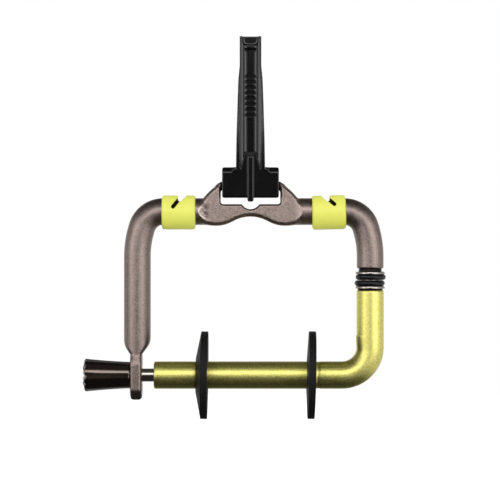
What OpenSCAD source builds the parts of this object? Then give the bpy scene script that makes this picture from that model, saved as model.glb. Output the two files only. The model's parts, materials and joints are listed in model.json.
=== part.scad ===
// Fishing line winder: a C-shaped frame that straps to a fishing rod and
// holds a line spool on a bar that swings open.
// Millimetres. +X runs along the rod and the spool bar, +Z is up, the front faces -Y.
// The origin is on the clamped rod's axis, at the middle of the saddle.

/* [Frame] */
// Diameter of the bent bar that makes the frame
frame_d = 7.75; // [6:0.05:10]
// Height from the spool bar's axis to the top bar's axis
frame_h = 47.4; // [40:0.2:80]
// Distance from the saddle's middle to the left arm's axis
arm_left_x = 32.8; // [30:0.2:50]
// Distance from the saddle's middle to the right arm's axis
arm_right_x = 34.7; // [31:0.2:50]
// Centre-line radius of the tight part of each top corner
corner_r = 6.4; // [5:0.1:9]
// Centre-line radius of the easy part of each top corner
easy_r = 28; // [20:1:40]
// Angle of the tight part of each top corner
corner_turn = 72; // [60:1:80]
// Length of the right arm below the top bar's axis
arm_right_len = 16.5; // [15:0.5:20]

/* [Saddle] */
// Height of the strap's hinge bar above the top bar's axis
hinge_rise = 7.6; // [7.2:0.1:8.4]
// Distance of the hinge bar in front of the frame's middle plane
hinge_set = 0.8; // [0.6:0.05:1]
// Diameter of the strap's hinge bar
hinge_d = 2.5; // [2:0.1:3]
// Radius of the arch that tops the saddle
arch_r = 17.2; // [16:0.1:18.4]
// Depth of the arch's centre below the hinge bar
arch_drop = 14.25; // [13.9:0.05:14.6]
// Half the length of the saddle plate
saddle_half = 14; // [13.4:0.1:14.6]
// Distance from the frame's middle plane forward to the saddle's flat face
saddle_front = 3.1; // [2.4:0.1:3.6]
// Distance from the frame's middle plane back to the saddle's rear face
saddle_back = 4.3; // [4:0.1:5]
// Depth of the saddle's lower edge below the hinge bar, at its two lobes
lobe_drop = 11.7; // [11.4:0.05:12]
// Distance of each lobe's lowest point from the middle
lobe_x = 10; // [9.5:0.1:10.5]
// Radius of each lobe
lobe_r = 9.77; // [8:0.01:11]
// Depth of the saddle's lower edge below the hinge bar, at the middle
dip_drop = 9.05; // [8.8:0.05:9.4]
// Radius of the dip between the lobes
dip_r = 10.1; // [9:0.1:12]
// Bevel along the saddle's front edges
saddle_bevel = 0.8; // [0.4:0.1:1.2]
// Length of the ramps that end the flat face on the round bar
ramp_len = 1; // [0.6:0.1:1.6]
// Width of the strap's window
window_w = 17.3; // [16:0.1:18]
// Depth of the window's sill below the hinge bar
sill_drop = 5.5; // [5.3:0.05:6]
// Radius of the window's corners
window_corner_r = 0.8; // [0.4:0.1:1.2]
// Depth of the notch's bottom below the hinge bar
notch_drop = 6.94; // [6.9:0.02:7.4]
// Radius of the notch in the sill
notch_r = 2.9; // [2.5:0.1:3.4]
// Diameter of the fishing rod that the saddle's seat is cut for
rod_d = 8; // [6:0.5:10]

/* [Ear] */
// Thickness of the ear at the left arm's foot
ear_t = 3.4; // [2.6:0.1:4]
// Distance from the arm's axis outward to the ear's middle
ear_shift = 0.3; // [0:0.1:0.6]
// Half the ear's width, front to back
ear_half_w = 4.6; // [4.2:0.1:6]
// Depth of the ear's foot below the spool bar's axis
ear_drop = 7.1; // [6:0.1:8]
// Radius of the ear's lower corners
ear_corner_r = 2.8; // [2:0.1:3.6]
// Height above the spool bar's axis where the round arm ends
arm_foot_rise = 8.9; // [8:0.1:12]
// Slope of the flats that thin the arm to the ear, from level
foot_slope = 52; // [40:1:60]

/* [Line guides] */
// Outer diameter of a guide ring
guide_d = 9.9; // [9.4:0.1:11]
// Length of a guide ring
guide_len = 9.8; // [9:0.1:11]
// Distance from each arm's axis to its ring's middle
guide_inset = 12; // [11.9:0.05:12.6]
// Distance of a ring's outside below the bar's axis
guide_sag = 0.25; // [0:0.05:0.4]
// Chamfer on a ring's outer edges
guide_chamfer = 0.55; // [0.3:0.05:0.8]
// Tilt of the right ring's outside
guide_tilt = 1.5; // [0:0.1:2]
// Width of the line slot
slot_w = 1.05; // [0.8:0.05:1.4]
// Distance along the bar from a ring's middle to the slot's blind end
slot_end_x = 1.6; // [1.2:0.1:2]
// Height of the slot's blind end above the bar's axis
slot_end_rise = 1.35; // [1:0.05:1.8]
// Height of the slot's upper end above the bar's axis
slot_top_rise = 3.3; // [3:0.1:3.6]
// Width of the slot's mouth at the top
mouth_w = 2.35; // [1.8:0.05:3]

/* [Strap] */
// Radius of the strap's knuckle around the hinge bar
knuckle_r = 2.9; // [2.6:0.05:3.1]
// Width of the strap's head
head_w = 16.4; // [15:0.1:16.8]
// Distance from the hinge bar forward to the head's face
head_front = 3.3; // [3:0.05:3.4]
// Distance from the hinge bar back to the head's upper rear face
head_back = 1.3; // [1:0.1:2]
// Depth of the head below the hinge bar
head_drop = 3.7; // [3.4:0.05:3.8]
// Height of the head's face above the hinge bar
head_face_rise = 3.55; // [3.2:0.05:4]
// Height of the head above the hinge bar
head_rise = 5.2; // [4.8:0.1:5.6]
// Height of the strap's tip above the hinge bar
strap_rise = 43; // [36:0.5:60]
// Width of the strap where it leaves the head
strap_base_w = 8.5; // [7.5:0.1:10]
// Width of the strap below its waisted tip
strap_mid_w = 7.2; // [6.6:0.1:8]
// Width of the strap's tip
strap_tip_w = 6.26; // [5.4:0.02:6.6]
// Thickness of the strap
strap_t = 3; // [2.4:0.1:3.2]
// Width of the strap's raised side walls
strap_wall = 0.6; // [0.4:0.05:0.8]
// Depth of the strap's front panels
panel_depth = 0.55; // [0.3:0.05:0.8]
// Width of the groove between the panels
groove_w = 2.3; // [1.8:0.1:2.8]
// Depth of the groove below the side walls
groove_depth = 1.2; // [0.8:0.1:1.6]
// Number of cross ridges
ridges = 8; // [4:1:12]
// Distance from one ridge to the next
ridge_pitch = 1.57; // [1.3:0.01:2]
// Width of a ridge across the strap
ridge_w = 2.8; // [2.4:0.1:3.4]
// Height of the lowest ridge above the hinge bar
ridge_start = 20.1; // [18:0.1:24]
// Width of the rib down the head
rib_w = 1.8; // [1.2:0.1:2.2]
// Distance that the rib stands out of the head's face
rib_out = 0.7; // [0.4:0.05:0.8]
// Depth of the rib's tip below the hinge bar
rib_drop = 4.8; // [4.2:0.05:4.9]
// Height of the rib's top above the hinge bar
rib_rise = 8.2; // [6:0.1:12]

/* [Spool bar] */
// Diameter of the spool bar
bar_d = 7.9; // [6.6:0.1:9]
// Centre-line radius of the spool bar's bend
bar_bend_r = 8.2; // [6:0.1:11]
// Gap between the ear and the bar's free end
end_gap = 3.4; // [2.4:0.1:5]
// Chamfer on the bar's ends
bar_chamfer = 0.35; // [0.2:0.05:0.6]
// Width of the shallow groove that marks each stop's place
mark_w = 0.8; // [0.7:0.05:1]
// Depth of the shallow groove
mark_depth = 0.3; // [0.25:0.05:0.6]
// Distance that the left groove starts before the left stop's hub
mark_lead = 0.1; // [0.05:0.05:0.3]
// Distance that the right groove starts past the right stop's hub
mark_trail = 0.9; // [0.5:0.1:1.5]

/* [Swivel] */
// Diameter of the swivel pin
pin_d = 4.8; // [4:0.1:5]
// Length of the pin inside the right arm
pin_up = 9; // [7:0.1:11]
// Length of the pin inside the spool bar
pin_down = 11; // [9:0.1:12]
// Diameter of the neck washer under the arm
neck_washer_d = 6.7; // [6:0.1:7.4]
// Thickness of the neck washer
neck_washer_t = 0.9; // [0.6:0.05:1.2]
// Diameter of the two bright washers
washer_d = 8.55; // [8:0.05:9]
// Thickness of the two bright washers
washer_t = 0.75; // [0.5:0.05:1]
// Outer diameter of the O-rings
ring_d = 8.8; // [8.4:0.05:9]
// Cross-section of the O-rings
ring_t = 1.68; // [1.5:0.02:1.7]
// Thickness of the thin foot washer on the spool bar
foot_washer_t = 0.4; // [0.3:0.05:0.6]
// Diameter of the foot washer
foot_washer_d = 7.3; // [6.6:0.1:7.8]
// Outer diameter of the bush inside the spool bar
bush_d = 6.1; // [5.8:0.05:6.3]
// Diameter of the small screws
screw_d = 2.5; // [2:0.1:3]
// Width of the pin's groove that the retaining screw runs in
pin_groove_w = 1.9; // [1.7:0.1:2.4]
// Depth of the pin's groove
pin_groove_depth = 0.6; // [0.4:0.05:0.8]
// Diameter of the retaining screw's point
point_d = 1.5; // [1.2:0.1:1.6]

/* [Lock] */
// Diameter of the lock screw
lock_d = 3.8; // [3.2:0.05:4.2]
// Length of the lock screw inside the spool bar
lock_reach = 2.4; // [1.6:0.1:3]
// Length of the lock screw inside the knob
lock_in_knob = 11; // [8:0.5:12]
// Outer diameter of the threaded bush in the ear
ear_bush_d = 6; // [5.4:0.1:7]
// Outer diameter of the bush in the bar's free end
end_bush_d = 5.6; // [5:0.1:6.2]
// Depth of the bush in the bar's free end
end_bush_len = 6; // [4:0.5:8]
// Length of the knob
knob_len = 13.9; // [11:0.1:18]
// Diameter of the knob at its outer end
knob_big_d = 9.7; // [9:0.1:12]
// Diameter of the knob beside the ear
knob_small_d = 7.7; // [7:0.1:9]
// Number of flutes round the knob
flutes = 8; // [6:1:12]
// Depth of a flute
flute_depth = 0.3; // [0.15:0.05:0.4]
// Radius of the cutter that makes a flute
flute_r = 2; // [1.2:0.1:3]

/* [Stops] */
// Diameter of the rubber stops
stop_d = 25.4; // [20:0.2:28]
// Thickness of the rubber stops
stop_t = 2; // [1.4:0.1:2.6]
// Distance that the left stop's hub is set back from its rim
stop_left_dish = 1.5; // [0:0.1:2]
// Distance that the right stop's hub is set back from its rim
stop_right_dish = 0.45; // [0:0.05:1]
// Distance from the bar's free end to the left stop's hub
stop_left_in = 12.1; // [10:0.1:16]
// Distance between the two stops' hubs
stop_apart = 32.2; // [24:0.2:33]
// Lean of the left stop
stop_left_lean = 0.8; // [0:0.1:1]
// Lean of the right stop
stop_right_lean = 1.1; // [0:0.1:1.2]

/* [Clearances] */
// Radial clearance of turning and sliding fits
run_gap = 0.05; // [0.02:0.01:0.09]
// Radial clearance of fitted pieces that stay put
seat_gap = 0.02; // [0.01:0.01:0.03]
// Radial clearance of the rubber stops on the spool bar
stop_gap = 0.08; // [0.06:0.01:0.1]
// Gap between faces that turn against each other
face_gap = 0.08; // [0.05:0.01:0.15]

/* [Hidden] */
$fn = 72;

// Overrun of every cut past the face that it opens
over = 1;

// Places
hinge_y = -(rod_d / 2 + knuckle_r + run_gap + seat_gap);
frame_y = hinge_y + hinge_set;
top_z = -hinge_rise;
bar_z = top_z - frame_h;
ear_x = -arm_left_x - ear_shift;
ear_in_x = ear_x + ear_t / 2;
ear_out_x = ear_x - ear_t / 2;
bar_end_x = ear_in_x + end_gap;
arm_right_z = top_z - arm_right_len;

// Swivel stack, from the right arm's end down
upper_washer_z = arm_right_z - neck_washer_t;
upper_ring_z = upper_washer_z - washer_t - ring_t / 2;
lower_ring_z = upper_ring_z - ring_t - face_gap;
lower_washer_z = lower_ring_z - ring_t / 2;
foot_washer_z = lower_washer_z - washer_t;
bar_top_z = foot_washer_z - foot_washer_t;
ring_shift = 0.15;
washer_bore_r = pin_d / 2 + run_gap;

// Screws at the back of the swivel
screw_len = 3;
pin_screw_z = arm_right_z + pin_up / 2;
groove_place_share = 0.6;
groove_z = bar_top_z - pin_down * groove_place_share;
screw_socket_d = screw_d / 2;
screw_socket_depth = screw_len / 3;

// Stops
stop_left_x = bar_end_x + stop_left_in;
stop_right_x = stop_left_x + stop_apart;

module along_x(x, z = 0, y = frame_y) {
    translate([x, y, z]) rotate([0, 90, 0]) children();
}

module cut_along_y(len) {
    rotate([90, 0, 0]) translate([0, 0, -len / 2]) linear_extrude(len) children();
}

// Frame
// The round bar is drawn in turns full and a hair thinner, and each thin length laps into its neighbours
lap = 0.3;
lap_step = 0.03;
thin_d = frame_d - 2 * lap_step;
// Length of round bar that runs on inside each end of the saddle
bar_lap = 3;
// Reach of a corner along the top bar and down the arm
corner_dx = corner_r * sin(corner_turn) + easy_r * (1 - sin(corner_turn));
corner_dz = corner_r * (1 - cos(corner_turn)) + easy_r * cos(corner_turn);

module frame_arc(centre_x, centre_z, r, from, turn, d) {
    translate([centre_x, frame_y, centre_z]) rotate([90, 0, 0]) rotate([0, 0, from])
        rotate_extrude(angle = turn) translate([r, 0]) circle(d = d);
}

// Left corner of the frame with its half of the top bar, for an arm that far from the middle
module corner(arm_x) {
    lap_turn = lap / corner_r * 180 / PI;
    frame_arc(-(arm_x - corner_dx), top_z - corner_r, corner_r, 90 - lap_turn, corner_turn + 2 * lap_turn, thin_d);
    frame_arc(-arm_x + easy_r, top_z - corner_dz, easy_r, 90 + corner_turn, 90 - corner_turn, frame_d);
    along_x(-(arm_x - corner_dx), top_z) cylinder(d = frame_d, h = arm_x - corner_dx - saddle_half + bar_lap);
}

module arm(x, foot_z) {
    translate([x, frame_y, foot_z]) cylinder(d = thin_d, h = top_z - corner_dz + lap - foot_z);
}

// Left arm and its ear, cut together to the ear's two flats
module left_arm() {
    difference() {
        union() {
            arm(-arm_left_x, bar_z);
            along_x(ear_out_x - over, bar_z) rotate([0, 0, 90]) linear_extrude(ear_t + 2 * over) ear_shape();
        }
        for (side = [0, 1]) translate([ear_x, frame_y, bar_z]) mirror([side, 0, 0]) ear_flat();
    }
}

module ear_flat() {
    // Metal taken off the right side: a deep block whose top slopes out of the arm
    face_x = ear_t / 2;
    reach = frame_d;
    slope_rise = reach * tan(foot_slope);
    start_z = arm_foot_rise - (frame_d - ear_t) / 2 * tan(foot_slope);
    rotate([90, 0, 0]) translate([0, 0, -frame_d]) linear_extrude(2 * frame_d) polygon([
        [face_x, -ear_drop - over], [face_x + reach, -ear_drop - over],
        [face_x + reach, start_z + slope_rise], [face_x, start_z]
    ]);
}

module ear_shape() {
    // Seen along the bar: first value towards the back, second value up
    inner = ear_half_w - ear_corner_r;
    translate([-ear_half_w, -ear_drop + ear_corner_r]) square([2 * ear_half_w, ear_drop]);
    translate([-inner, -ear_drop]) square([2 * inner, ear_drop]);
    for (side = [-1, 1]) translate([side * inner, -ear_drop + ear_corner_r]) circle(r = ear_corner_r);
    translate([0, ear_corner_r]) circle(r = ear_half_w);
}

module saddle_disc(x, z, r, front_r) {
    // A disc through the saddle whose radius changes to front_r along the front bevel
    translate([x, frame_y, z]) rotate([90, 0, 0]) {
        translate([0, 0, -saddle_back - over])
            cylinder(r = r, h = saddle_back + over + saddle_front - saddle_bevel);
        translate([0, 0, saddle_front - saddle_bevel])
            cylinder(r1 = r, r2 = front_r, h = saddle_bevel);
    }
}

module saddle_plate() {
    plate_h = lobe_drop + hinge_rise;
    difference() {
        intersection() {
            translate([-saddle_half, frame_y - saddle_front, -lobe_drop])
                cube([2 * saddle_half, saddle_front + saddle_back, plate_h]);
            saddle_disc(0, -arch_drop, arch_r, arch_r - saddle_bevel);
        }
        // The dip between the lobes, with its bevel
        translate([0, frame_y, -dip_drop - dip_r]) rotate([90, 0, 0]) {
            translate([0, 0, -saddle_back - over]) cylinder(r = dip_r, h = saddle_back + saddle_front + 2 * over);
            translate([0, 0, saddle_front - saddle_bevel])
                cylinder(r1 = dip_r, r2 = dip_r + saddle_bevel, h = saddle_bevel);
            translate([0, 0, saddle_front]) cylinder(r = dip_r + saddle_bevel, h = over);
        }
        // The corners outside the lobes' round undersides
        for (side = [-1, 1]) difference() {
            translate([side * lobe_x - lobe_r / 2, frame_y - saddle_front - over, -lobe_drop - over])
                cube([lobe_r, saddle_front + saddle_back + 2 * over, over + saddle_bevel + lobe_r / 8]);
            saddle_disc(side * lobe_x, lobe_r - lobe_drop, lobe_r, lobe_r - saddle_bevel);
        }
    }
}

module saddle_flat() {
    // Metal taken off the front of the round bar, with a ramp at each end
    ramp_rise = frame_d / 2 - saddle_front;
    half = saddle_half - ramp_len / 5;
    reach = ramp_len * (1 + over / ramp_rise);
    translate([0, frame_y - saddle_front, top_z - frame_d]) linear_extrude(2 * frame_d) polygon([
        [-half, 0], [half, 0], [half + reach, -ramp_rise - over], [-half - reach, -ramp_rise - over]
    ]);
}

module window_shape() {
    half = window_w / 2;
    top = -hinge_d / 2;
    translate([-half, -sill_drop + window_corner_r]) square([window_w, sill_drop + arch_r]);
    translate([-half + window_corner_r, -sill_drop]) square([window_w - 2 * window_corner_r, window_corner_r * 2]);
    for (side = [-1, 1])
        translate([side * (half - window_corner_r), -sill_drop + window_corner_r]) circle(r = window_corner_r);
    translate([0, -notch_drop + notch_r]) circle(r = notch_r);
}

// Parts of the mouth's width that lie outward and inward of the ring's middle, and the foot of its slope
mouth_out_share = 0.12;
mouth_in_share = 0.88;
mouth_foot_share = 0.18;

module mouth_shape() {
    // V-shaped mouth of the line slot, measured from the ring's middle and the bar's axis
    out_x = -mouth_w * mouth_out_share;
    in_x = mouth_w * mouth_in_share;
    polygon([
        [out_x, guide_d / 2 + over], [in_x + over / 2, guide_d / 2 + over], [in_x, slot_top_rise + slot_w],
        [mouth_w * mouth_foot_share, slot_top_rise - slot_w / 2], [out_x, slot_top_rise]
    ]);
}

module slot_shape() {
    run = slot_top_rise - slot_end_rise;
    translate([-slot_end_x, slot_end_rise]) {
        circle(d = slot_w);
        rotate([0, 0, atan2(run, slot_end_x)]) translate([0, -slot_w / 2])
            square([norm([run, slot_end_x]), slot_w]);
    }
}

module frame() {
    color([0.42, 0.37, 0.34]) difference() {
        union() {
            corner(arm_left_x);
            mirror([1, 0, 0]) corner(arm_right_x);
            left_arm();
            arm(arm_right_x, arm_right_z);
            difference() {
                saddle_plate();
                translate([0, frame_y, 0]) cut_along_y(2 * frame_d) window_shape();
            }
            along_x(-window_w / 2 - over / 2, 0, hinge_y) cylinder(d = hinge_d, h = window_w + over);
        }
        saddle_flat();
        // Seat for the fishing rod, at the back of the saddle
        along_x(-saddle_half - over, 0, 0) cylinder(d = rod_d, h = 2 * (saddle_half + over));
        // Notches under the two line guides
        translate([-arm_left_x + guide_inset, frame_y, top_z]) cut_along_y(2 * frame_d) mouth_shape();
        mirror([1, 0, 0]) translate([-arm_right_x + guide_inset, frame_y, top_z])
            cut_along_y(2 * frame_d) mouth_shape();
        // Socket for the swivel pin and the hole for its set screw
        translate([arm_right_x, frame_y, arm_right_z - over])
            cylinder(d = pin_d + 2 * seat_gap, h = pin_up + over + seat_gap);
        translate([arm_right_x, frame_y, pin_screw_z]) rotate([-90, 0, 0])
            cylinder(d = screw_d + 2 * seat_gap, h = frame_d);
        // Hole for the ear's bush
        along_x(ear_out_x - over, bar_z) cylinder(d = ear_bush_d + 2 * seat_gap, h = ear_t + 2 * over);
    }
}

// Line guides
module guide_ring(arm_x, tilt) {
    // Ring on the left of the frame, for an arm that far from the middle
    half = guide_len / 2;
    r = guide_d / 2;
    color([0.84, 0.86, 0.36]) translate([-arm_x + guide_inset, frame_y, top_z]) difference() {
        translate([0, 0, -guide_sag]) rotate([0, 90 + tilt, 0]) rotate_extrude() polygon([
            [0, -half], [r - guide_chamfer, -half], [r, -half + guide_chamfer],
            [r, half - guide_chamfer], [r - guide_chamfer, half], [0, half]
        ]);
        rotate([0, 90, 0]) cylinder(d = frame_d + 2 * seat_gap, h = guide_len + 2 * over, center = true);
        cut_along_y(2 * frame_d) mouth_shape();
        cut_along_y(2 * frame_d) slot_shape();
    }
}

module line_guide_left() { guide_ring(arm_left_x, 0); }

module line_guide_right() { mirror([1, 0, 0]) guide_ring(arm_right_x, guide_tilt); }

// Strap
module head_profile() {
    // Seen along the hinge bar: first value towards the back, second value up
    top_r = head_rise - head_face_rise;
    foot_r = head_drop / 4;
    circle(r = knuckle_r);
    translate([-head_front, -head_drop + foot_r]) square([head_front, head_drop - foot_r + head_face_rise]);
    translate([-head_front + foot_r, -head_drop]) square([head_front - foot_r, head_drop]);
    translate([-head_front + foot_r, -head_drop + foot_r]) circle(r = foot_r);
    translate([0, -head_drop + foot_r]) circle(r = foot_r);
    translate([-head_front + top_r, head_face_rise]) circle(r = top_r);
    translate([-head_front + top_r, 0]) square([head_front - top_r + head_back - top_r / 2, head_rise]);
    translate([-head_front + top_r, 0]) square([head_front - top_r + head_back, head_rise - top_r / 2]);
    translate([head_back - top_r / 2, head_rise - top_r / 2]) circle(r = top_r / 2);
}

// Heights of the strap's outline, as shares of its rise
waist_low_share = 0.675;
waist_high_share = 0.845;
strap_root = head_face_rise;

module strap_outline(inset) {
    base = strap_base_w / 2 - inset;
    middle = strap_mid_w / 2 - inset;
    tip = strap_tip_w / 2 - inset;
    low = strap_rise * waist_low_share;
    high = strap_rise * waist_high_share;
    polygon([
        [-base, strap_root], [base, strap_root], [middle, low],
        [(middle + tip) / 2, (low + high) / 2], [tip, high], [tip, strap_rise - inset],
        [-tip, strap_rise - inset], [-tip, high], [-(middle + tip) / 2, (low + high) / 2], [-middle, low]
    ]);
}

// Width of the snap-on slit, as a share of the hinge bar
slit_share = 0.7;

module rod_strap() {
    front = hinge_y - head_front;
    root_z = head_rise;
    slit_w = hinge_d * slit_share;
    color([0.09, 0.09, 0.09]) difference() {
        union() {
            translate([-head_w / 2, hinge_y, 0]) rotate([90, 0, 90]) linear_extrude(head_w) head_profile();
            difference() {
                translate([0, front + strap_t, 0]) rotate([90, 0, 0]) linear_extrude(strap_t) strap_outline(0);
                // Panels and the groove between them, sunk into the strap's face
                translate([0, front + panel_depth, 0]) rotate([90, 0, 0])
                    linear_extrude(panel_depth + over) intersection() {
                        strap_outline(strap_wall);
                        translate([-strap_base_w, root_z]) square([2 * strap_base_w, strap_rise]);
                    }
                translate([-groove_w / 2, front - over, root_z + rib_w])
                    cube([groove_w, groove_depth + over, strap_rise - root_z - 2 * rib_w - strap_wall]);
            }
            // Cross ridges in the groove
            for (i = [0 : ridges - 1])
                along_x(-ridge_w / 2, ridge_start + i * ridge_pitch, front + groove_depth - ridge_pitch / 4)
                    cylinder(r = ridge_pitch / 2.4, h = ridge_w);
            // Rib down the head, with a rounded foot
            translate([-rib_w / 2, front - rib_out, -rib_drop + rib_w / 2])
                cube([rib_w, rib_out + head_front / 2, rib_drop + rib_rise - rib_w / 2]);
            along_x(-rib_w / 2, -rib_drop + rib_w / 2, front - rib_out + rib_w / 2) cylinder(r = rib_w / 2, h = rib_w);
            translate([-rib_w / 2, front - rib_out + rib_w / 2, -rib_drop])
                cube([rib_w, rib_w / 2, rib_w]);
        }
        // Bore on the hinge bar, and the slit that lets it snap on
        along_x(-head_w / 2 - over, 0, hinge_y) cylinder(d = hinge_d + 2 * run_gap, h = head_w + 2 * over);
        translate([-head_w / 2 - over, hinge_y, 0]) rotate([-45, 0, 0])
            translate([0, 0, -slit_w / 2]) cube([head_w + 2 * over, knuckle_r + head_drop, slit_w]);
    }
}

// Spool bar
module chamfered_end(len) {
    rotate_extrude() polygon([
        [0, 0], [bar_d / 2, 0], [bar_d / 2, len - bar_chamfer], [bar_d / 2 - bar_chamfer, len], [0, len]
    ]);
}

module spool_bar() {
    level_len = arm_right_x - bar_bend_r - bar_end_x;
    rise_len = bar_top_z - bar_z - bar_bend_r;
    mark_r = bar_d / 2 - mark_depth;
    color([0.85, 0.82, 0.3]) difference() {
        union() {
            translate([arm_right_x - bar_bend_r, frame_y, bar_z]) rotate([0, -90, 0]) chamfered_end(level_len);
            translate([arm_right_x - bar_bend_r, frame_y, bar_z + bar_bend_r]) rotate([90, 0, 0])
                rotate([0, 0, -90]) rotate_extrude(angle = 90) translate([bar_bend_r, 0]) circle(d = bar_d);
            translate([arm_right_x, frame_y, bar_z + bar_bend_r]) chamfered_end(rise_len);
        }
        // Shallow grooves at the two stops
        for (x = [stop_left_x - mark_lead, stop_right_x + stop_t + mark_trail]) along_x(x, bar_z) difference() {
            cylinder(d = bar_d + over, h = mark_w);
            translate([0, 0, -over]) cylinder(r = mark_r, h = mark_w + 2 * over);
        }
        // Sockets for the two bushes
        along_x(bar_end_x - over, bar_z) cylinder(d = end_bush_d + 2 * seat_gap, h = end_bush_len + seat_gap + over);
        translate([arm_right_x, frame_y, bar_top_z - pin_down - face_gap])
            cylinder(d = bush_d + 2 * seat_gap, h = pin_down + face_gap + over);
        // Hole for the retaining screw
        translate([arm_right_x, frame_y, groove_z]) rotate([-90, 0, 0])
            cylinder(d = screw_d + 2 * seat_gap, h = bar_d);
    }
}

// Swivel
module ring_at(z, d, bore_r, t) {
    translate([arm_right_x, frame_y, z - t]) difference() {
        cylinder(d = d, h = t);
        translate([0, 0, -over]) cylinder(r = bore_r, h = t + 2 * over);
    }
}

module o_ring(z, shift) {
    color([0.07, 0.07, 0.07]) translate([arm_right_x + shift, frame_y, z])
        rotate_extrude() translate([(ring_d - ring_t) / 2, 0]) circle(d = ring_t);
}

module swivel_pin() {
    chamfer = pin_d / 12;
    foot_z = bar_top_z - pin_down;
    groove_r = pin_d / 2 - pin_groove_depth;
    color([0.75, 0.75, 0.77]) translate([arm_right_x, frame_y, 0]) difference() {
        union() {
            translate([0, 0, foot_z + chamfer]) cylinder(d = pin_d, h = arm_right_z + pin_up - foot_z - 2 * chamfer);
            translate([0, 0, foot_z]) cylinder(d1 = pin_d - 2 * chamfer, d2 = pin_d, h = chamfer);
            translate([0, 0, arm_right_z + pin_up - chamfer])
                cylinder(d1 = pin_d, d2 = pin_d - 2 * chamfer, h = chamfer);
        }
        translate([0, 0, groove_z - pin_groove_w / 2]) difference() {
            cylinder(d = pin_d + over, h = pin_groove_w);
            translate([0, 0, -over]) cylinder(r = groove_r, h = pin_groove_w + 2 * over);
        }
    }
}

module neck_washer() { color([0.1, 0.1, 0.1]) ring_at(arm_right_z, neck_washer_d, washer_bore_r, neck_washer_t); }

module upper_washer() { color([0.25, 0.24, 0.24]) ring_at(upper_washer_z, washer_d, washer_bore_r, washer_t); }

module upper_o_ring() { o_ring(upper_ring_z, ring_shift); }

module lower_o_ring() { o_ring(lower_ring_z, -ring_shift); }

module lower_washer() { color([0.25, 0.24, 0.24]) ring_at(lower_washer_z, washer_d, washer_bore_r, washer_t); }

module foot_washer() { color([0.1, 0.1, 0.1]) ring_at(foot_washer_z, foot_washer_d, washer_bore_r, foot_washer_t); }

module swivel_bush() {
    color([0.2, 0.2, 0.2]) difference() {
        ring_at(bar_top_z, bush_d, pin_d / 2 + run_gap, pin_down);
        translate([arm_right_x, frame_y, groove_z]) rotate([-90, 0, 0])
            cylinder(d = screw_d + 2 * seat_gap, h = bar_d);
    }
}

module small_screw(tip_y, z) {
    // Grub screw from the back, its tip that far behind the swivel axis
    translate([arm_right_x, frame_y + tip_y, z]) rotate([-90, 0, 0]) difference() {
        cylinder(d = screw_d, h = frame_d / 2 - tip_y - seat_gap);
        translate([0, 0, frame_d / 2 - tip_y - screw_socket_depth])
            cylinder(d = screw_socket_d, h = screw_socket_depth + over, $fn = 6);
    }
}

module pin_set_screw() { color([0.3, 0.3, 0.3]) small_screw(pin_d / 2 + seat_gap, pin_screw_z); }

module retaining_screw() {
    groove_r = pin_d / 2 - pin_groove_depth;
    color([0.3, 0.3, 0.3]) {
        small_screw(pin_d / 2 + run_gap, groove_z);
        translate([arm_right_x, frame_y + groove_r + face_gap, groove_z]) rotate([-90, 0, 0])
            cylinder(d = point_d, h = pin_groove_depth);
    }
}

// Lock
module ear_bush() {
    color([0.72, 0.58, 0.28]) along_x(ear_out_x, bar_z) difference() {
        cylinder(d = ear_bush_d, h = ear_t);
        translate([0, 0, -over]) cylinder(d = lock_d + 2 * run_gap, h = ear_t + 2 * over);
    }
}

module end_bush() {
    color([0.15, 0.15, 0.15]) along_x(bar_end_x, bar_z) difference() {
        cylinder(d = end_bush_d, h = end_bush_len);
        translate([0, 0, -over]) cylinder(d = lock_d + 2 * run_gap, h = end_bush_len + 2 * over);
    }
}

module lock_screw() {
    tip_chamfer = lock_d / 5;
    start_x = ear_out_x - face_gap - lock_in_knob;
    len = bar_end_x + lock_reach - start_x;
    color([0.78, 0.78, 0.8]) along_x(start_x, bar_z) {
        cylinder(d = lock_d, h = len - tip_chamfer);
        translate([0, 0, len - tip_chamfer])
            cylinder(d1 = lock_d, d2 = lock_d - 2 * tip_chamfer, h = tip_chamfer);
    }
}

// Radius of the knob at a share of its length from the ear
flare_power = 1.4;
flare_steps = 12;
function knob_r(share) = knob_small_d / 2 + (knob_big_d - knob_small_d) / 2 * pow(share, flare_power);

module lock_knob() {
    rim = flute_depth;
    tilt = atan2((knob_big_d - knob_small_d) / 2, knob_len);
    // First value outward from the axis, second value away from the ear
    color([0.12, 0.09, 0.08]) along_x(ear_out_x - face_gap, bar_z) mirror([0, 0, 1]) difference() {
        rotate_extrude() polygon(concat(
            [[0, 0], [knob_small_d / 2 - rim, 0]],
            [for (i = [1 : flare_steps]) [knob_r(i / flare_steps), (knob_len - rim) * i / flare_steps]],
            [[knob_big_d / 2 - rim, knob_len], [0, knob_len]]
        ));
        for (i = [0 : flutes - 1]) rotate([0, 0, i * 360 / flutes])
            translate([knob_small_d / 2 + flute_r - flute_depth, 0, 0]) rotate([0, tilt, 0])
                translate([0, 0, -over]) cylinder(r = flute_r, h = knob_len + 3 * over);
        // Socket for the lock screw and the hole for the set screw that holds it
        translate([0, 0, -over]) cylinder(d = lock_d + 2 * seat_gap, h = lock_in_knob + seat_gap + over);
        translate([0, 0, knob_len / 2]) rotate([-90, 0, 0]) cylinder(d = screw_d + 2 * seat_gap, h = knob_big_d);
    }
}

module knob_set_screw() {
    tip = lock_d / 2 + seat_gap;
    len = knob_small_d / 2 - 2 * flute_depth - tip;
    color([0.3, 0.3, 0.3]) translate([ear_out_x - face_gap - knob_len / 2, frame_y + tip, bar_z])
        rotate([-90, 0, 0]) difference() {
            cylinder(d = screw_d, h = len);
            translate([0, 0, len / 2]) cylinder(d = screw_socket_d, h = len, $fn = 6);
        }
}

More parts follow.
